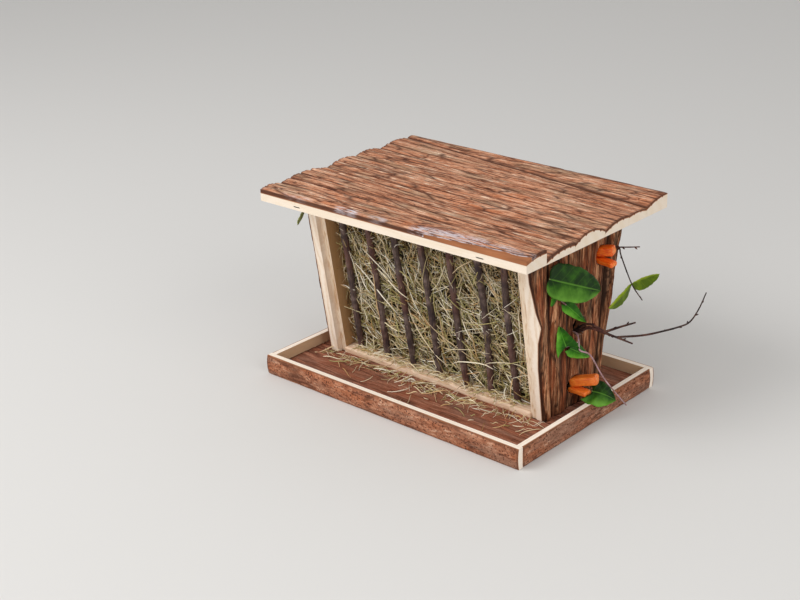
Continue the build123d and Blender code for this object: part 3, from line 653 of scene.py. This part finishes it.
for face_name, face in (("front", -1), ("back", 1)):
    for number in range(7):
        chance = random.Random(11 * number + face)
        knots = [chance.uniform(0.12, 0.9) for _ in range(2)]
        points, radii = [], []
        for step in range(42):
            share = step / 41
            z = twig_foot_z + (twig_head_z - twig_foot_z) * share
            bend = np.interp(share, (0, 0.05, 0.36, 0.66, 0.95, 1),
                             (0, 0, low_bend[number], high_bend[number], 0, 0)) / 1000
            x = ((twig_feet[number] * (1 - share) + twig_heads[number] * share) / 1000 + bend
                 + twig_wobble * noise((z * 40, number, face)))
            y = (box_middle + face * (rack_depth(z) - twig_inset)
                 + twig_wobble * noise((z * 40, number, 9)))
            knot = sum(math.exp(-((share - k) / 0.016) ** 2) for k in knots)
            radii.append(twig_radius * (0.92 + 0.06 * noise((z * 45, number, 3))
                                        + 0.08 * min(knot, 1)))
            points.append(Vector((x, y, z)))
        twig = rod(f"{face_name}_rack_twig_{number + 1}", points, radii, 14)
        dress(twig, twig_bark, "box", "rack_twig", f"{face_name}_twig_{number + 1}")

# ---------------- hay
# The box is stuffed with meadow hay: a tangle of dry stalks and blades, straw-yellow to olive,
# over a dark heart that the light doesn't reach. Loose stalks lie on the tray.


def hay_material(name, stops):
    """Dried grass stalks: dull straw to olive, each stalk a little different, faintly glossy."""
    made, tree, shader = new_material(name)
    shade = node(tree, "Attribute", attribute_name="shade").outputs["Fac"]
    place = node(tree, "TexCoord").outputs["Object"]
    mottle = node(tree, "TexNoise", {"Vector": place, "Scale": 260.0, "Detail": 2.0})
    mottled = node(tree, "Math", {0: mottle, 1: 0.22, 2: shade}, operation="MULTIPLY_ADD")
    centred = node(tree, "Math", {0: mottled, 1: 0.11}, operation="SUBTRACT")
    straw = node(tree, "ValToRGB", {"Fac": centred}, stops)
    # some stalks were cut green and dried olive, others went brown
    spread = node(tree, "Math", {0: shade, 1: 37.0}, operation="MULTIPLY")
    kind = node(tree, "Math", {0: spread}, operation="FRACT")
    kinds = node(tree, "ValToRGB", {"Fac": kind},
                 ((0.0, "#B4AE78"), (0.09, "#D6D0A4"), (0.14, "#FFFFFF"), (0.76, "#FFFCF4"),
                  (0.88, "#F2DCB8"), (1.0, "#DEBC96")))
    colour = node(tree, "Mix", {"Factor": 1.0, "A": straw, "B": kinds}, data_type="RGBA",
                  blend_type="MULTIPLY")
    fill(shader, {"Base Color": colour, "Roughness": 0.6, "Specular IOR Level": 0.35})
    return made


hay_stalks = hay_material("meadow_hay_stalks", (
    (0.0, "#4E3C22"), (0.2, "#8C744A"), (0.42, "#DCC699"), (0.7, "#FFF3D6"), (1.0, "#FFFBF0")))
stalk_length, stalk_rings = 0.062, 7
# half the room between the posts, and how far back and forth the top layer reaches
hay_room, top_room = 0.145, 0.062
straight_up = Vector((0, 0, 1))


def stalk_shape(bow, twist, width, kink):
    """One stalk, lying along X from its middle: a three-sided rod, bowed and kinked."""
    points, radii = [], []
    for step in range(stalk_rings):
        share = 2 * step / (stalk_rings - 1) - 1
        points.append(Vector((share * stalk_length / 2, bow * (1 - share * share)
                              + kink * abs(share) ** 3, twist * math.sin(2.4 * share))))
        radii.append(width * (1 - 0.45 * abs(share) ** 2))
    shape = rod("stalk", points, radii, 3)
    corners = np.array([v.co for v in shape.data.vertices])
    faces = [list(p.vertices) for p in shape.data.polygons]
    bpy.data.objects.remove(shape)
    return corners, faces


shape_chance = random.Random(5)
stalk_shapes = [stalk_shape(shape_chance.gauss(0, 0.003), shape_chance.uniform(-0.003, 0.003),
                            shape_chance.triangular(0.0003, 0.0011, 0.0005),
                            shape_chance.gauss(0, 0.003)) for _ in range(16)]


def tangle(name, spots):
    """Many stalks in one piece. A spot is a middle, a direction, a normal, a length and a shade."""
    corners, faces, shades, start = [], [], [], 0
    for index, (middle, way, normal, length, shade) in enumerate(spots):
        shape, shape_faces = stalk_shapes[index % len(stalk_shapes)]
        side = normal.cross(way).normalized()
        turn = np.array(Matrix((way.normalized(), side, way.cross(side).normalized())))
        scale = np.array((length / stalk_length, min(1.0, length / stalk_length), 1))
        corners.append(shape * scale @ turn + np.array(middle))
        faces += [[start + c for c in f] for f in shape_faces]
        shades += [shade] * len(shape)
        start += len(shape)
    mesh = bpy.data.meshes.new(name)
    mesh.from_pydata(np.concatenate(corners).tolist(), [], faces)
    piece = bpy.data.objects.new(name, mesh)
    bpy.context.collection.objects.link(piece)
    add_attribute(piece, "shade", "FLOAT", shades)
    mesh.shade_smooth()
    return piece


def in_plane(chance, normal, spread):
    """A random direction that lies near the plane of a normal."""
    way = Vector([chance.gauss(0, 1) for _ in range(3)])
    way -= normal * way.dot(normal) * (1 - spread)
    return way.normalized()


def stalk_shade(chance, mean, spread):
    """A stalk's shade, from 0 for dark and dusty to 1 for bleached."""
    return clamp(chance.gauss(mean, spread), 0, 1)


for face_name, face in (("front", -1), ("back", 1)):
    chance = random.Random(40 + face)
    normal = Vector((0, face, -0.14)).normalized()
    spots = []
    for _ in range(3000):
        z = chance.uniform(0.016, 0.203)
        inset = chance.triangular(0.0115, 0.026, 0.014)
        if chance.random() < 0.02:
            inset = chance.uniform(0.005, 0.010)
        length = chance.triangular(0.010, 0.062, 0.022)
        x_room = hay_room - 0.3 * length
        middle = Vector((clamp(chance.uniform(-hay_room, hay_room), -x_room, x_room),
                         box_middle + face * (rack_depth(z) - inset), clamp(z, 0.022, 0.200)))
        # its ends stay between the posts, and between the floor and the lid
        way = in_plane(chance, normal, 0.18)
        x_reach, z_reach = (abs(way[axis]) * length / 2 for axis in (0, 2))
        middle.x = clamp(middle.x, x_reach - 0.1455, 0.1455 - x_reach)
        middle.z = clamp(middle.z, 0.014 + z_reach, 0.207 - z_reach)
        # stalks further in, and those under the lid, are painted darker: painted shade of the hay
        # round them and of the lid over them
        shade = chance.gauss(0.82, 0.36) - 70 * max(0, inset - 0.0142) - 13 * max(0, z - 0.172)
        spots.append((middle, way, normal, length, clamp(shade, 0, 1)))
    # a few long straight stalks hang out between the twigs
    for _ in range(16):
        z = chance.uniform(0.05, 0.17)
        length = chance.uniform(0.05, 0.085)
        way = in_plane(chance, normal, 0.05)
        x_room = hay_room - abs(way.x) * length / 2
        x = chance.uniform(-x_room, x_room)
        y = box_middle + face * (rack_depth(z) - chance.uniform(0.0045, 0.009))
        spots.append((Vector((x, y, z)), way, normal, length, chance.uniform(0.6, 1)))
    hay_face = tangle(f"hay_{face_name}_face", spots)
    dress(hay_face, hay_stalks, "box", "hay", "hay_fill")

# stalks along the panels close the holes from inside
for side_name, side in (("left", -1), ("right", 1)):
    chance = random.Random(60 + side)
    spots = []
    for _ in range(900):
        length = chance.triangular(0.012, 0.05, 0.025)
        way = in_plane(chance, Vector((side, 0, 0)), 0.04)
        z_room = abs(way.z) * length / 2
        z = chance.uniform(0.016 + z_room, 0.205 - z_room)
        y_room = rack_depth(z) - 0.013 - abs(way.y) * length / 2
        middle = Vector((side * chance.uniform(0.1435, 0.1468),
                         box_middle + chance.uniform(-y_room, y_room), z))
        spots.append((middle, way, Vector((side, 0, 0)), length, stalk_shade(chance, 0.35, 0.2)))
    hay_side = tangle(f"hay_{side_name}_end", spots)
    dress(hay_side, hay_stalks, "box", "hay", "hay_fill")

# a layer on top shows when the lid is off
chance = random.Random(77)
spots = []
for _ in range(1100):
    length = chance.uniform(0.025, 0.07)
    way = in_plane(chance, straight_up, 0.12)
    x_room = hay_room - abs(way.x) * length / 2
    y_room = top_room - abs(way.y) * length / 2
    middle = Vector((chance.uniform(-x_room, x_room), box_middle + chance.uniform(-y_room, y_room),
                     chance.uniform(0.194, 0.204)))
    spots.append((middle, way, straight_up, length, stalk_shade(chance, 0.5, 0.24)))
hay_top = tangle("hay_top_layer", spots)
dress(hay_top, hay_stalks, "box", "hay", "hay_fill")

# the heart of the hay: the same block, drawn in and rough, painted dark as the shade deep in the
# hay and seen only between stalks
heart_material = hay_material("hay_heart_painted_shade", ((0.0, "#1A1208"), (0.5, "#2E2212"),
                                                     (1.0, "#4A3A20")))
low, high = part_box("hay_fill")
heart = cut_blank("hay_heart", (40, 1, 26))
for vertex in heart.data.vertices:
    x = low.x + 0.003 + vertex.co.x * (high.x - low.x - 0.006)
    z = low.z + vertex.co.z * (high.z - low.z - 0.008)
    face = -1 if vertex.co.y < 0.5 else 1
    rough = 0.002 * noise((x * 90, face, z * 90))
    depth = rack_depth(z) - 0.0245 + rough if z >= 0.02 else 0.030
    vertex.co = (x, box_middle + face * depth, z)
add_attribute(heart, "shade", "FLOAT",
              [0.5 + 0.5 * noise(vertex.co * 300) for vertex in heart.data.vertices])
dress(heart, heart_material, "box", "hay", "hay_fill")

# loose stalks by turns on the tray's floor, most of them near the box, and on the bottom rail
rail_top = 0.0208
chance = random.Random(91)
spots = []
for index in range(460):
    length = chance.uniform(0.007, 0.032)
    y = max(-0.120, -0.054 - abs(chance.gauss(0, 0.024 if index % 8 == 0 else 0.006)))
    x = chance.uniform(-0.17, 0.17)
    z = floor_top + 0.0008 + chance.uniform(0, 0.002)
    if index % 2:
        z = rail_top + chance.uniform(0, 0.004)
        y = chance.triangular(-0.052, -0.030, -0.038)
        x = chance.uniform(-0.132, 0.132)
    spots.append((Vector((x, y, z)), in_plane(chance, straight_up, 0.02), straight_up, length,
                  stalk_shade(chance, 0.68, 0.25)))
loose = tangle("loose_hay", spots)
dress(loose, hay_stalks, "box", "hay", "hay_fill")

# ---------------- carrots
# Two pairs of cut carrot sticks are pushed into holes of the right panel: peeled, moist, deep
# orange with a paler core that shows at the cut ends.


def from_hole(hole, place, side=1):
    """A place in metres from one in millimetres outwards, backwards and upwards from the middle
    of a treat hole, at the panel's inner face."""
    _, y, z = treat_holes[hole]
    return Vector((side * (panel_inner + place[0] / 1000), y + place[1] / 1000,
                   z + place[2] / 1000))


carrot_flesh, tree, shader = new_material("raw_carrot_cut")
place = node(tree, "TexCoord").outputs["Object"]
cells = streaked(tree, place, (160, 600, 600), 3.0)
blotch = node(tree, "TexNoise", {"Vector": place, "Scale": 120.0, "Detail": 2.0})
flesh = node(tree, "ValToRGB", {"Fac": cells},
             ((0.3, "#E04A06"), (0.5, "#F4660C"), (0.7, "#FF8A2C")))
core = node(tree, "Attribute", attribute_name="core").outputs["Fac"]
flesh = node(tree, "Mix", {"Factor": core, "A": flesh, "B": linear("#FFA347")}, data_type="RGBA")
flesh = cover(tree, flesh, linear("#D84808"), blotch, 0.5, 0.7, 0.3)
bump = node(tree, "Bump", {"Height": cells, "Strength": 0.4, "Distance": 0.0004})
fill(shader, {"Base Color": flesh, "Normal": bump, "Roughness": 0.42, "Subsurface Weight": 0.12,
              "Subsurface Radius": (0.003, 0.001, 0.0004)})

carrot_width = 0.013
# each stick's hole, millimetres above the hole's middle, its direction, length and height
for index, (hole, above, way, length, height) in enumerate((
        ("back_high", 2.19, (10, 3.2, 1.6), 0.023, 0.011),
        ("back_high", -6.49, (10, 0, -0.8), 0.027, 0.006),
        ("low", 2.19, (10, 2.7, 2.6), 0.034, 0.011),
        ("low", -6.49, (10, 0, 0), 0.025, 0.006))):
    deselect()
    bpy.ops.mesh.primitive_cube_add(size=1, location=(0.5, 0, 0))
    stick = bpy.context.object
    stick.name = f"carrot_stick_{index + 1}"
    stick.scale = (length, carrot_width, height)
    stick.location = (length / 2, 0, 0)
    bpy.ops.object.transform_apply(location=True, rotation=False, scale=True)
    bpy.ops.object.mode_set(mode="EDIT")
    bpy.ops.mesh.select_all(action="SELECT")
    bpy.ops.mesh.bevel(offset=min(0.0023, height * 0.3), segments=3, affect="EDGES")
    bpy.ops.mesh.select_all(action="SELECT")
    bpy.ops.mesh.subdivide(number_cuts=3)
    bpy.ops.object.mode_set(mode="OBJECT")
    run = Vector(way).normalized()
    turn = Matrix((run, Vector((-run.y, run.x, 0)).normalized(),
                   run.cross(Vector((-run.y, run.x, 0))).normalized())).transposed()
    root = from_hole(hole, (6, 0, above))
    cores = []
    for vertex in stick.data.vertices:
        spot = vertex.co.copy()
        spot.y += 0.0006 * noise((spot.x * 130, index, 2))
        spot.z += 0.0005 * noise((spot.x * 130, index, 3)) + 0.0004 * noise(
            (spot.x * 400, spot.y * 400, index))
        if spot.x > length * 0.5:
            spot.x += 0.0012 * noise((spot.y * 160, spot.z * 160, index))
        middle = math.hypot(spot.y / carrot_width, spot.z / height)
        at_end = spot.x > length * 0.93
        cores.append(max(0.3 * (hole == "low"), 0.8 * (1 - middle / 0.5) * at_end))
        vertex.co = root + turn @ spot
    add_attribute(stick, "core", "FLOAT", cores)
    stick.data.shade_smooth()
    dress(stick, carrot_flesh, "box", "carrot", "carrot_sticks")

# ---------------- stems, leaves
# Fresh leaves and green stems: a big glossy leaf by its stalk, a sprig that hangs from the
# middle hole with arrow-shaped leaves, and a smaller leaf low down. One more is on the left.


def eased(points, steps):
    """A smooth line through points, with some steps between each two."""
    ends = [2 * points[0] - points[1]] + points + [2 * points[-1] - points[-2]]
    line = []
    for a, b, c, d in zip(ends, ends[1:], ends[2:], ends[3:]):
        for step in range(steps):
            t = step / steps
            line.append(0.5 * (2 * b + (c - a) * t + (2 * a - 5 * b + 4 * c - d) * t * t
                               + (3 * b - a - 3 * c + d) * t ** 3))
    return line + [points[-1]]


def stem(name, hole, places, widths, seed, bud_gap=0, side=1):
    """A thin uneven stem through places from a hole, its widths in millimetres at both ends, with
    pointed buds by turns on its sides."""
    line = eased([from_hole(hole, place, side) for place in places], 5)
    count = len(line) - 1
    radii = [(widths[0] + (widths[1] - widths[0]) * i / count) / 2000
             * (1 + 0.16 * noise((i * 0.9, seed, 0))) for i in range(count + 1)]
    made = rod(name, line, radii, 8)
    buds = []
    for i in range(3, count, bud_gap or count):
        if bud_gap:
            way = (line[i + 1] - line[i]).normalized()
            out = Matrix.Rotation(2.4 * i + seed, 3, way) @ way.orthogonal().normalized()
            lean = (way + 0.9 * out).normalized()
            root = line[i] + out * radii[i] * 0.4
            size = 0.9 + 0.3 * noise((i, seed, 5))
            buds.append(rod("bud", [root, root + lean * 0.0016 * size, root + lean * 0.0028 * size,
                                    root + lean * 0.0042 * size],
                            [radii[i] * 0.9, 0.0011 * size, 0.0009 * size, 0.0002], 6))
    select(made, *buds)
    if buds:
        bpy.ops.object.join()
    return made


def leaf_material(name, blade, light, shade, veins):
    """Fresh leaf: waxy, a little glossy, with paler midrib and side veins and uneven green."""
    made, tree, shader = new_material(name)
    spot = node(tree, "SeparateXYZ", {"Vector": node(
        tree, "Attribute", attribute_name="blade").outputs["Vector"]})
    place = node(tree, "TexCoord").outputs["Object"]
    patch = node(tree, "TexNoise", {"Vector": place, "Scale": 70.0, "Detail": 3.0})
    fine = node(tree, "TexNoise", {"Vector": place, "Scale": 700.0, "Detail": 2.0})
    # painted light: one half of the blade is painted lighter as a sheen where it catches the light,
    # and it is painted darker near its stalk as shade
    sheen = node(tree, "MapRange", {"Value": spot.outputs["Y"], "From Min": 0.1,
                                    "From Max": -0.9, "To Min": -0.1, "To Max": 0.42})
    stalk_end = node(tree, "MapRange", {"Value": spot.outputs["X"], "From Min": 0.0,
                                        "From Max": 0.22, "To Min": -0.24, "To Max": 0.0})
    shading = node(tree, "Math", {0: sheen, 1: stalk_end})
    lit = node(tree, "Math", {0: patch, 1: 0.9, 2: shading}, operation="MULTIPLY_ADD")
    green = node(tree, "ValToRGB", {"Fac": lit}, ((0.28, shade), (0.5, blade), (1.0, light)))
    # a midrib along the middle, and side veins that slant away from it
    across = node(tree, "Math", {0: spot.outputs["Y"]}, operation="ABSOLUTE")
    slant = node(tree, "Math", {0: across, 1: -0.22, 2: spot.outputs["X"]},
                 operation="MULTIPLY_ADD")
    phase = node(tree, "Math", {0: slant, 1: veins * 6.283}, operation="MULTIPLY")
    wave = node(tree, "Math", {0: phase}, operation="SINE")
    side_vein = node(tree, "MapRange", {"Value": wave, "From Min": 0.86, "From Max": 1.0,
                                        "To Max": 0.09})
    midrib = node(tree, "MapRange", {"Value": across, "From Min": 0.06, "From Max": 0.02,
                                     "To Max": 0.5})
    vein = node(tree, "Math", {0: side_vein, 1: midrib}, operation="MAXIMUM")
    colour = node(tree, "Mix", {"Factor": vein, "A": green, "B": linear(light)},
                  data_type="RGBA")
    height = node(tree, "Math", {0: fine, 1: 0.4, 2: vein}, operation="MULTIPLY_ADD")
    bump = node(tree, "Bump", {"Height": height, "Strength": 0.5, "Distance": 0.0005})
    fill(shader, {"Base Color": colour, "Normal": bump, "Roughness": 0.5,
                  "Specular IOR Level": 0.16})
    return made


# share along the blade, half width as a share of the widest
ovate = ((0, 0.45), (0.04, 0.74), (0.12, 0.92), (0.3, 1), (0.55, 0.95), (0.75, 0.78), (0.9, 0.5),
         (0.97, 0.27), (1, 0.0))
heart_shaped = ((0, 0.75), (0.15, 1), (0.4, 0.97), (0.65, 0.72), (0.85, 0.4), (1, 0.0))
arrow = ((0, 0.55), (0.12, 0.95), (0.25, 1), (0.45, 0.8), (0.7, 0.46), (0.9, 0.15), (1, 0.0))
spear = ((0, 1), (0.15, 0.92), (0.4, 0.66), (0.7, 0.36), (0.92, 0.12), (1, 0.0))
rounded = ((0, 0.15), (0.08, 0.62), (0.25, 0.94), (0.5, 1), (0.75, 0.8), (0.92, 0.4), (1, 0.0))


def leaf(name, base, tip, width_way, width, outline, fold, seed, lobes=0, bow=0.1, wave=0.05,
         belly=0):
    """A blade from its base to its tip: a grid drawn to the leaf's outline, folded along its
    midrib, bowed and rippled, then given its thickness. Lobes draw its base corners back, and a
    belly makes one half wider than the other."""
    deselect()
    bpy.ops.mesh.primitive_grid_add(x_subdivisions=30, y_subdivisions=22, size=2)
    blade = bpy.context.object
    blade.name = name
    along = tip - base
    side = (width_way - along * (width_way.dot(along) / along.length_squared)).normalized()
    normal = along.normalized().cross(side)
    spots = []
    for vertex in blade.data.vertices:
        t, v = (vertex.co.x + 1) / 2, vertex.co.y
        spots.append((t, v, seed))
        half = np.interp(t, [o[0] for o in outline], [o[1] for o in outline]) * width / 2
        half *= (1 + 0.05 * noise((t * 9, v > 0, seed))) * (1 + belly * (1 if v > 0 else -1))
        rise = (half * abs(v) * fold + bow * along.length * 4 * t * (1 - t)
                + wave * width * noise((t * 5, v * 1.6, seed)) * abs(v)
                - 0.0005 * abs(math.sin((t - 0.22 * abs(v)) * 22)) * abs(v))
        vertex.co = (base + along * (t - lobes * v * v * (1 - t) ** 4) + side * half * v
                     + normal * rise)
    add_attribute(blade, "blade", "FLOAT_VECTOR", spots)
    thick = blade.modifiers.new("thickness", "SOLIDIFY")
    thick.thickness = 0.0005
    bpy.ops.object.modifier_apply(modifier=thick.name)
    blade.data.shade_smooth()
    return blade


glossy_leaf = leaf_material("fresh_leaf_glossy", "#2C580E", "#69A036", "#112E05", 7)
sprig_leaf = leaf_material("fresh_sprig_leaf", "#35780E", "#74BC3C", "#1E500A", 5)
young_leaf = leaf_material("young_leaf_yellow_green", "#748C0E", "#A8B436", "#4C6206", 4)
hidden_leaf = leaf_material("pale_wilted_leaf", "#8C9A52", "#B4BC7A", "#6A7838", 4)
sprig_bark = twig_material("sprig_stem_rind", "#B8929A", "#77604F", "#DCC2C6", "#A87C80",
                           (500, 500, 120))
green_stem = twig_material("green_stem", "#7D8B58", "#5C6B3A", "#B9A08E", "#8C7A5A",
                           (500, 500, 120))

# the broad leaves: places and directions in millimetres from a hole, widths in metres
for number, (side, hole, stalk, tip, width_way, width, form) in enumerate((
        (1, "front_high", ((2, -6, 8), (15, -8.5, 6), (19, -23.3, 13.9)), (41, 43.6, -16),
         (-6, -2, 41), 0.042, dict(outline=ovate, fold=-0.22, bow=0.07, wave=0.07)),
        (1, "low", ((2, 10.4, 0), (16, 9.5, -4), (30, 9.5, -6), (34, 4, -4)), (57, 18.6, -14.6),
         (-6, 32, 15), 0.036, dict(outline=heart_shaped, lobes=0.35, fold=-0.12, wave=0.1)),
        (-1, "front_high", ((2, 0, -10.4), (16, -7, -6), (24, -25, 10), (31, -40.8, 22.6)),
         (35, -50.7, 5.9), (6, 10, -3), 0.018, dict(outline=rounded, fold=-0.2, bow=0.05)))):
    blade = leaf(f"broad_leaf_{number + 1}", from_hole(hole, stalk[-1], side),
                 from_hole(hole, tip, side), Vector((side * width_way[0],) + width_way[1:]), width,
                 seed=number + 3, **form)
    dress(blade, glossy_leaf if side > 0 else hidden_leaf, "box", "leaf", "broad_leaves")
    held = stem(f"broad_leaf_stalk_{number + 1}", hole, stalk, (1.9, 1.5), number, side=side)
    dress(held, green_stem, "box", "leaf", "broad_leaves")

# the sprig: three stems and four leaves
for number, (hole, places, widths) in enumerate((
        ("front_high", ((2, 3, -10), (16, -2, -9.5), (17.5, 0, -19), (17, 10.9, -28.4)),
         (1.8, 1.4)),
        ("middle", ((2, -8.1, -6.8), (15, -8.1, -6.8), (23, -15, -12), (27, -18, -21),
                    (33, -6.3, -29.4), (47, -3.9, -50.3), (60, -2.2, -64.3), (54, 39.5, -105.3)),
         (2.2, 1.5)),
        ("middle", ((23, -15, -12), (23, -26, -12.5), (23, -39.5, -9.9)), (1.5, 1.2)))):
    made = stem(f"sprig_stem_{number + 1}", hole, places, widths, 20 + number)
    dress(made, sprig_bark, "box", "leaf", "leafy_sprig")
for number, (hole, base, tip, width_way, width, form) in enumerate((
        ("front_high", (16, -2, -9.5), (17, -16.7, -21.4), (0, 10, -12.4), 0.012,
         dict(outline=ovate)),
        ("front_high", (17, 10.9, -28.4), (23, 42.7, -60.1), (9, 22, 24), 0.016,
         dict(outline=arrow, lobes=0.28)),
        ("middle", (23, -39.5, -9.9), (23, -53.3, 20.8), (15, 19, 9), 0.027,
         dict(outline=spear, lobes=0.2)),
        ("middle", (24, -33, -14), (23, 8.1, -40.1), (2, 19, 30), 0.019,
         dict(outline=arrow, lobes=0.1)))):
    blade = leaf(f"sprig_leaf_{number + 1}", from_hole(hole, base), from_hole(hole, tip),
                 Vector(width_way), width, fold=-0.3, bow=0.06, wave=0.1, seed=11 + number, **form)
    dress(blade, sprig_leaf, "box", "leaf", "leafy_sprig")

# ---------------- treat twigs
# Thin fruit-tree twigs to gnaw: a bare forked one with dark buds out of the middle hole, and one
# with two round young leaves out of the high hole at the back.
treat_bark = twig_material("fruit_twig_bark", "#3A2620", "#1E1210", "#6A4A3C", "#6A2E22",
                           (600, 300, 300))
for number, (places, widths) in enumerate((
        (((-4, 2.3, -9.6), (12, 0, -7), (27, 0, 1), (47, 4, -2)), (5.0, 3.4)),
        (((3, 3, -11), (13, 4, -2), (27, 1, 5), (40, 3, 1.5), (52, 5, -4)), (3.2, 2.4)),
        (((44, 3.4, -1.5), (59, 17, 5), (69, 30.5, 8)), (3.4, 2.0)),
        (((44, 3.4, -1.5), (59, 8.8, -5.7), (69, 25.3, -16.4)), (3.4, 1.9)),
        (((58, 8.4, -5.4), (79, 30.3, -5.1), (89, 54.5, -6.1), (94, 83, -9), (99, 98.5, -6.7),
          (99, 117.3, 3), (99, 132.8, 18.9)), (2.8, 1.4)))):
    made = stem(f"bare_twig_shoot_{number + 1}", "middle", places, widths, 30 + number, bud_gap=4)
    dress(made, treat_bark, "box", "treat_twig", "bare_twig")

for number, (places, widths, gap) in enumerate((
        (((1, 10.2, -3), (13, 10.2, -2.5), (18.5, 14, 2), (21.5, 18, 5), (24.2, 20, 5.6),
          (26.5, 20, 2.5), (29, 19.3, -4.8), (46.6, 15.8, -34), (53, 29, -57)), (2.4, 1.3), 9),
        (((21.5, 18, 5), (32, 27, 4.6), (43, 36, 4.7)), (1.8, 1.4), 5))):
    made = stem(f"budding_shoot_{number + 1}", "back_high", places, widths, 40 + number,
                bud_gap=gap)
    dress(made, treat_bark, "box", "treat_twig", "budding_twig")
for number, (tip, width_way, width) in enumerate((((43, -24, -52), (2, 20, -18), 0.017),
                                                  ((57, 57, -32), (1, 14, -18), 0.015))):
    blade = leaf(f"young_leaf_{number + 1}", from_hole("back_high", (46.6, 15.8, -34)),
                 from_hole("back_high", tip), Vector(width_way), width, rounded, fold=-0.3,
                 bow=0.05, wave=0.08, belly=0.6, seed=21 + number)
    dress(blade, young_leaf, "box", "leaf", "budding_twig")

# ---------------- lid
# A front board and five domed slabs, bark up, sawn off together at both ends, on two battens.
# The rough bark has come off the front of the first board, where the smooth inner bark shows.
lid_bark = bark_material(
    "spruce_lid_slab_bark_on", ((0.0, "#4A291C"), (0.22, "#AC6E4F"), (0.5, "#C98D6B"),
                                (0.76, "#D8A485"), (1.0, "#F4D6BA")),
    red="#C06E42", grey="#93795F", fibre_size=(0.016, 0.0015), cracking=0.95, pitting=0.3,
    inner_bark=("#8A5636", "#B0714A"), wood="#F1E1CE", wood_line="#EBD7BC")
lid_ends = (-0.2025, 0.2025)
bare_width = 0.0085
# bark thickness in millimetres, and how finely each board is cut up across
for index, (bark, across_cuts) in enumerate((
        (5.0, 46), (4.6, 84), (2.2, 74), (3.0, 64), (2.2, 60), (2.4, 40))):
    name = f"lid_slab_{index}" if index else "lid_front_board"
    board = bark_board(name, (0, 1, 2, 1), lid_ends, (150, across_cuts, 5), bark, 0.85,
                       60 + index * 3, flake=(85, 7), crack_pitch=12,
                       bare_strip=0 if index else bare_width)
    dress(board, lid_bark, "lid", "bark_board", name)
finish_node("lid_left_batten", cross_lath)
finish_node("lid_right_batten", cross_lath)

# ---------------- metal
# Round wire nails and flat wire staples of drawn steel, dull and slightly uneven.
steel, tree, shader = new_material("drawn_steel_wire")
place = node(tree, "TexCoord").outputs["Object"]
drawn = node(tree, "TexNoise", {"Vector": place, "Scale": 900.0, "Detail": 2.0})
tint = node(tree, "ValToRGB", {"Fac": drawn}, ((0.3, "#9A9892"), (0.7, "#C4C1BB")))
fill(shader, {"Base Color": tint, "Metallic": 1.0, "Roughness": 0.42})
for name in ("tray_nails", "box_nails", "lid_nails", "lid_staples"):
    finish_node(name, steel)

# ---------------- studio
# A plain pale floor that fades into a white background, a large soft lamp from the front left
# and weaker ones low in front and from the right.
deselect()
bpy.ops.mesh.primitive_plane_add(size=24, location=(0, 0, -0.0002))
floor = bpy.context.object
floor.name = "studio_floor"
paper, tree, shader = new_material("pale_studio_floor")
fill(shader, {"Base Color": linear("#D9D7D4"), "Roughness": 0.9})
floor.data.materials.append(paper)
floor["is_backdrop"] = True

for lamp_name, place, size, power in (("key_lamp", (-1.2, -1.9, 2.2), 1.6, 46),
                                      ("front_lamp", (0.3, -2.4, 0.8), 1.4, 9),
                                      ("fill_lamp", (2.2, -0.4, 1.5), 1.6, 16)):
    lamp = bpy.data.lights.new(lamp_name, "AREA")
    lamp.size = size
    lamp.energy = power
    holder = bpy.data.objects.new(lamp_name, lamp)
    bpy.context.collection.objects.link(holder)
    holder.location = place
    aim = Vector((0, 0, 0.1)) - Vector(place)
    holder.rotation_euler = aim.to_track_quat("-Z", "Y").to_euler()

world = bpy.data.worlds.new("studio")
bpy.context.scene.world = world
world.use_nodes = True
tree = world.node_tree
rays = node(tree, "LightPath")
seen = rays.outputs["Is Camera Ray"]
for ray in ("Is Glossy Ray", "Is Transmission Ray"):
    seen = node(tree, "Math", {0: seen, 1: rays.outputs[ray]}, operation="MAXIMUM")
light = node(tree, "Background", {"Color": linear("#FFFFFF"), "Strength": 0.55})
shown = node(tree, "Background", {"Color": linear("#F2F1EF"), "Strength": 1.0})
both = node(tree, "MixShader", {0: seen, 1: light, 2: shown})
fill(tree.nodes["World Output"], {"Surface": both})
bpy.context.scene.view_settings.view_transform = "Standard"

low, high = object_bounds()
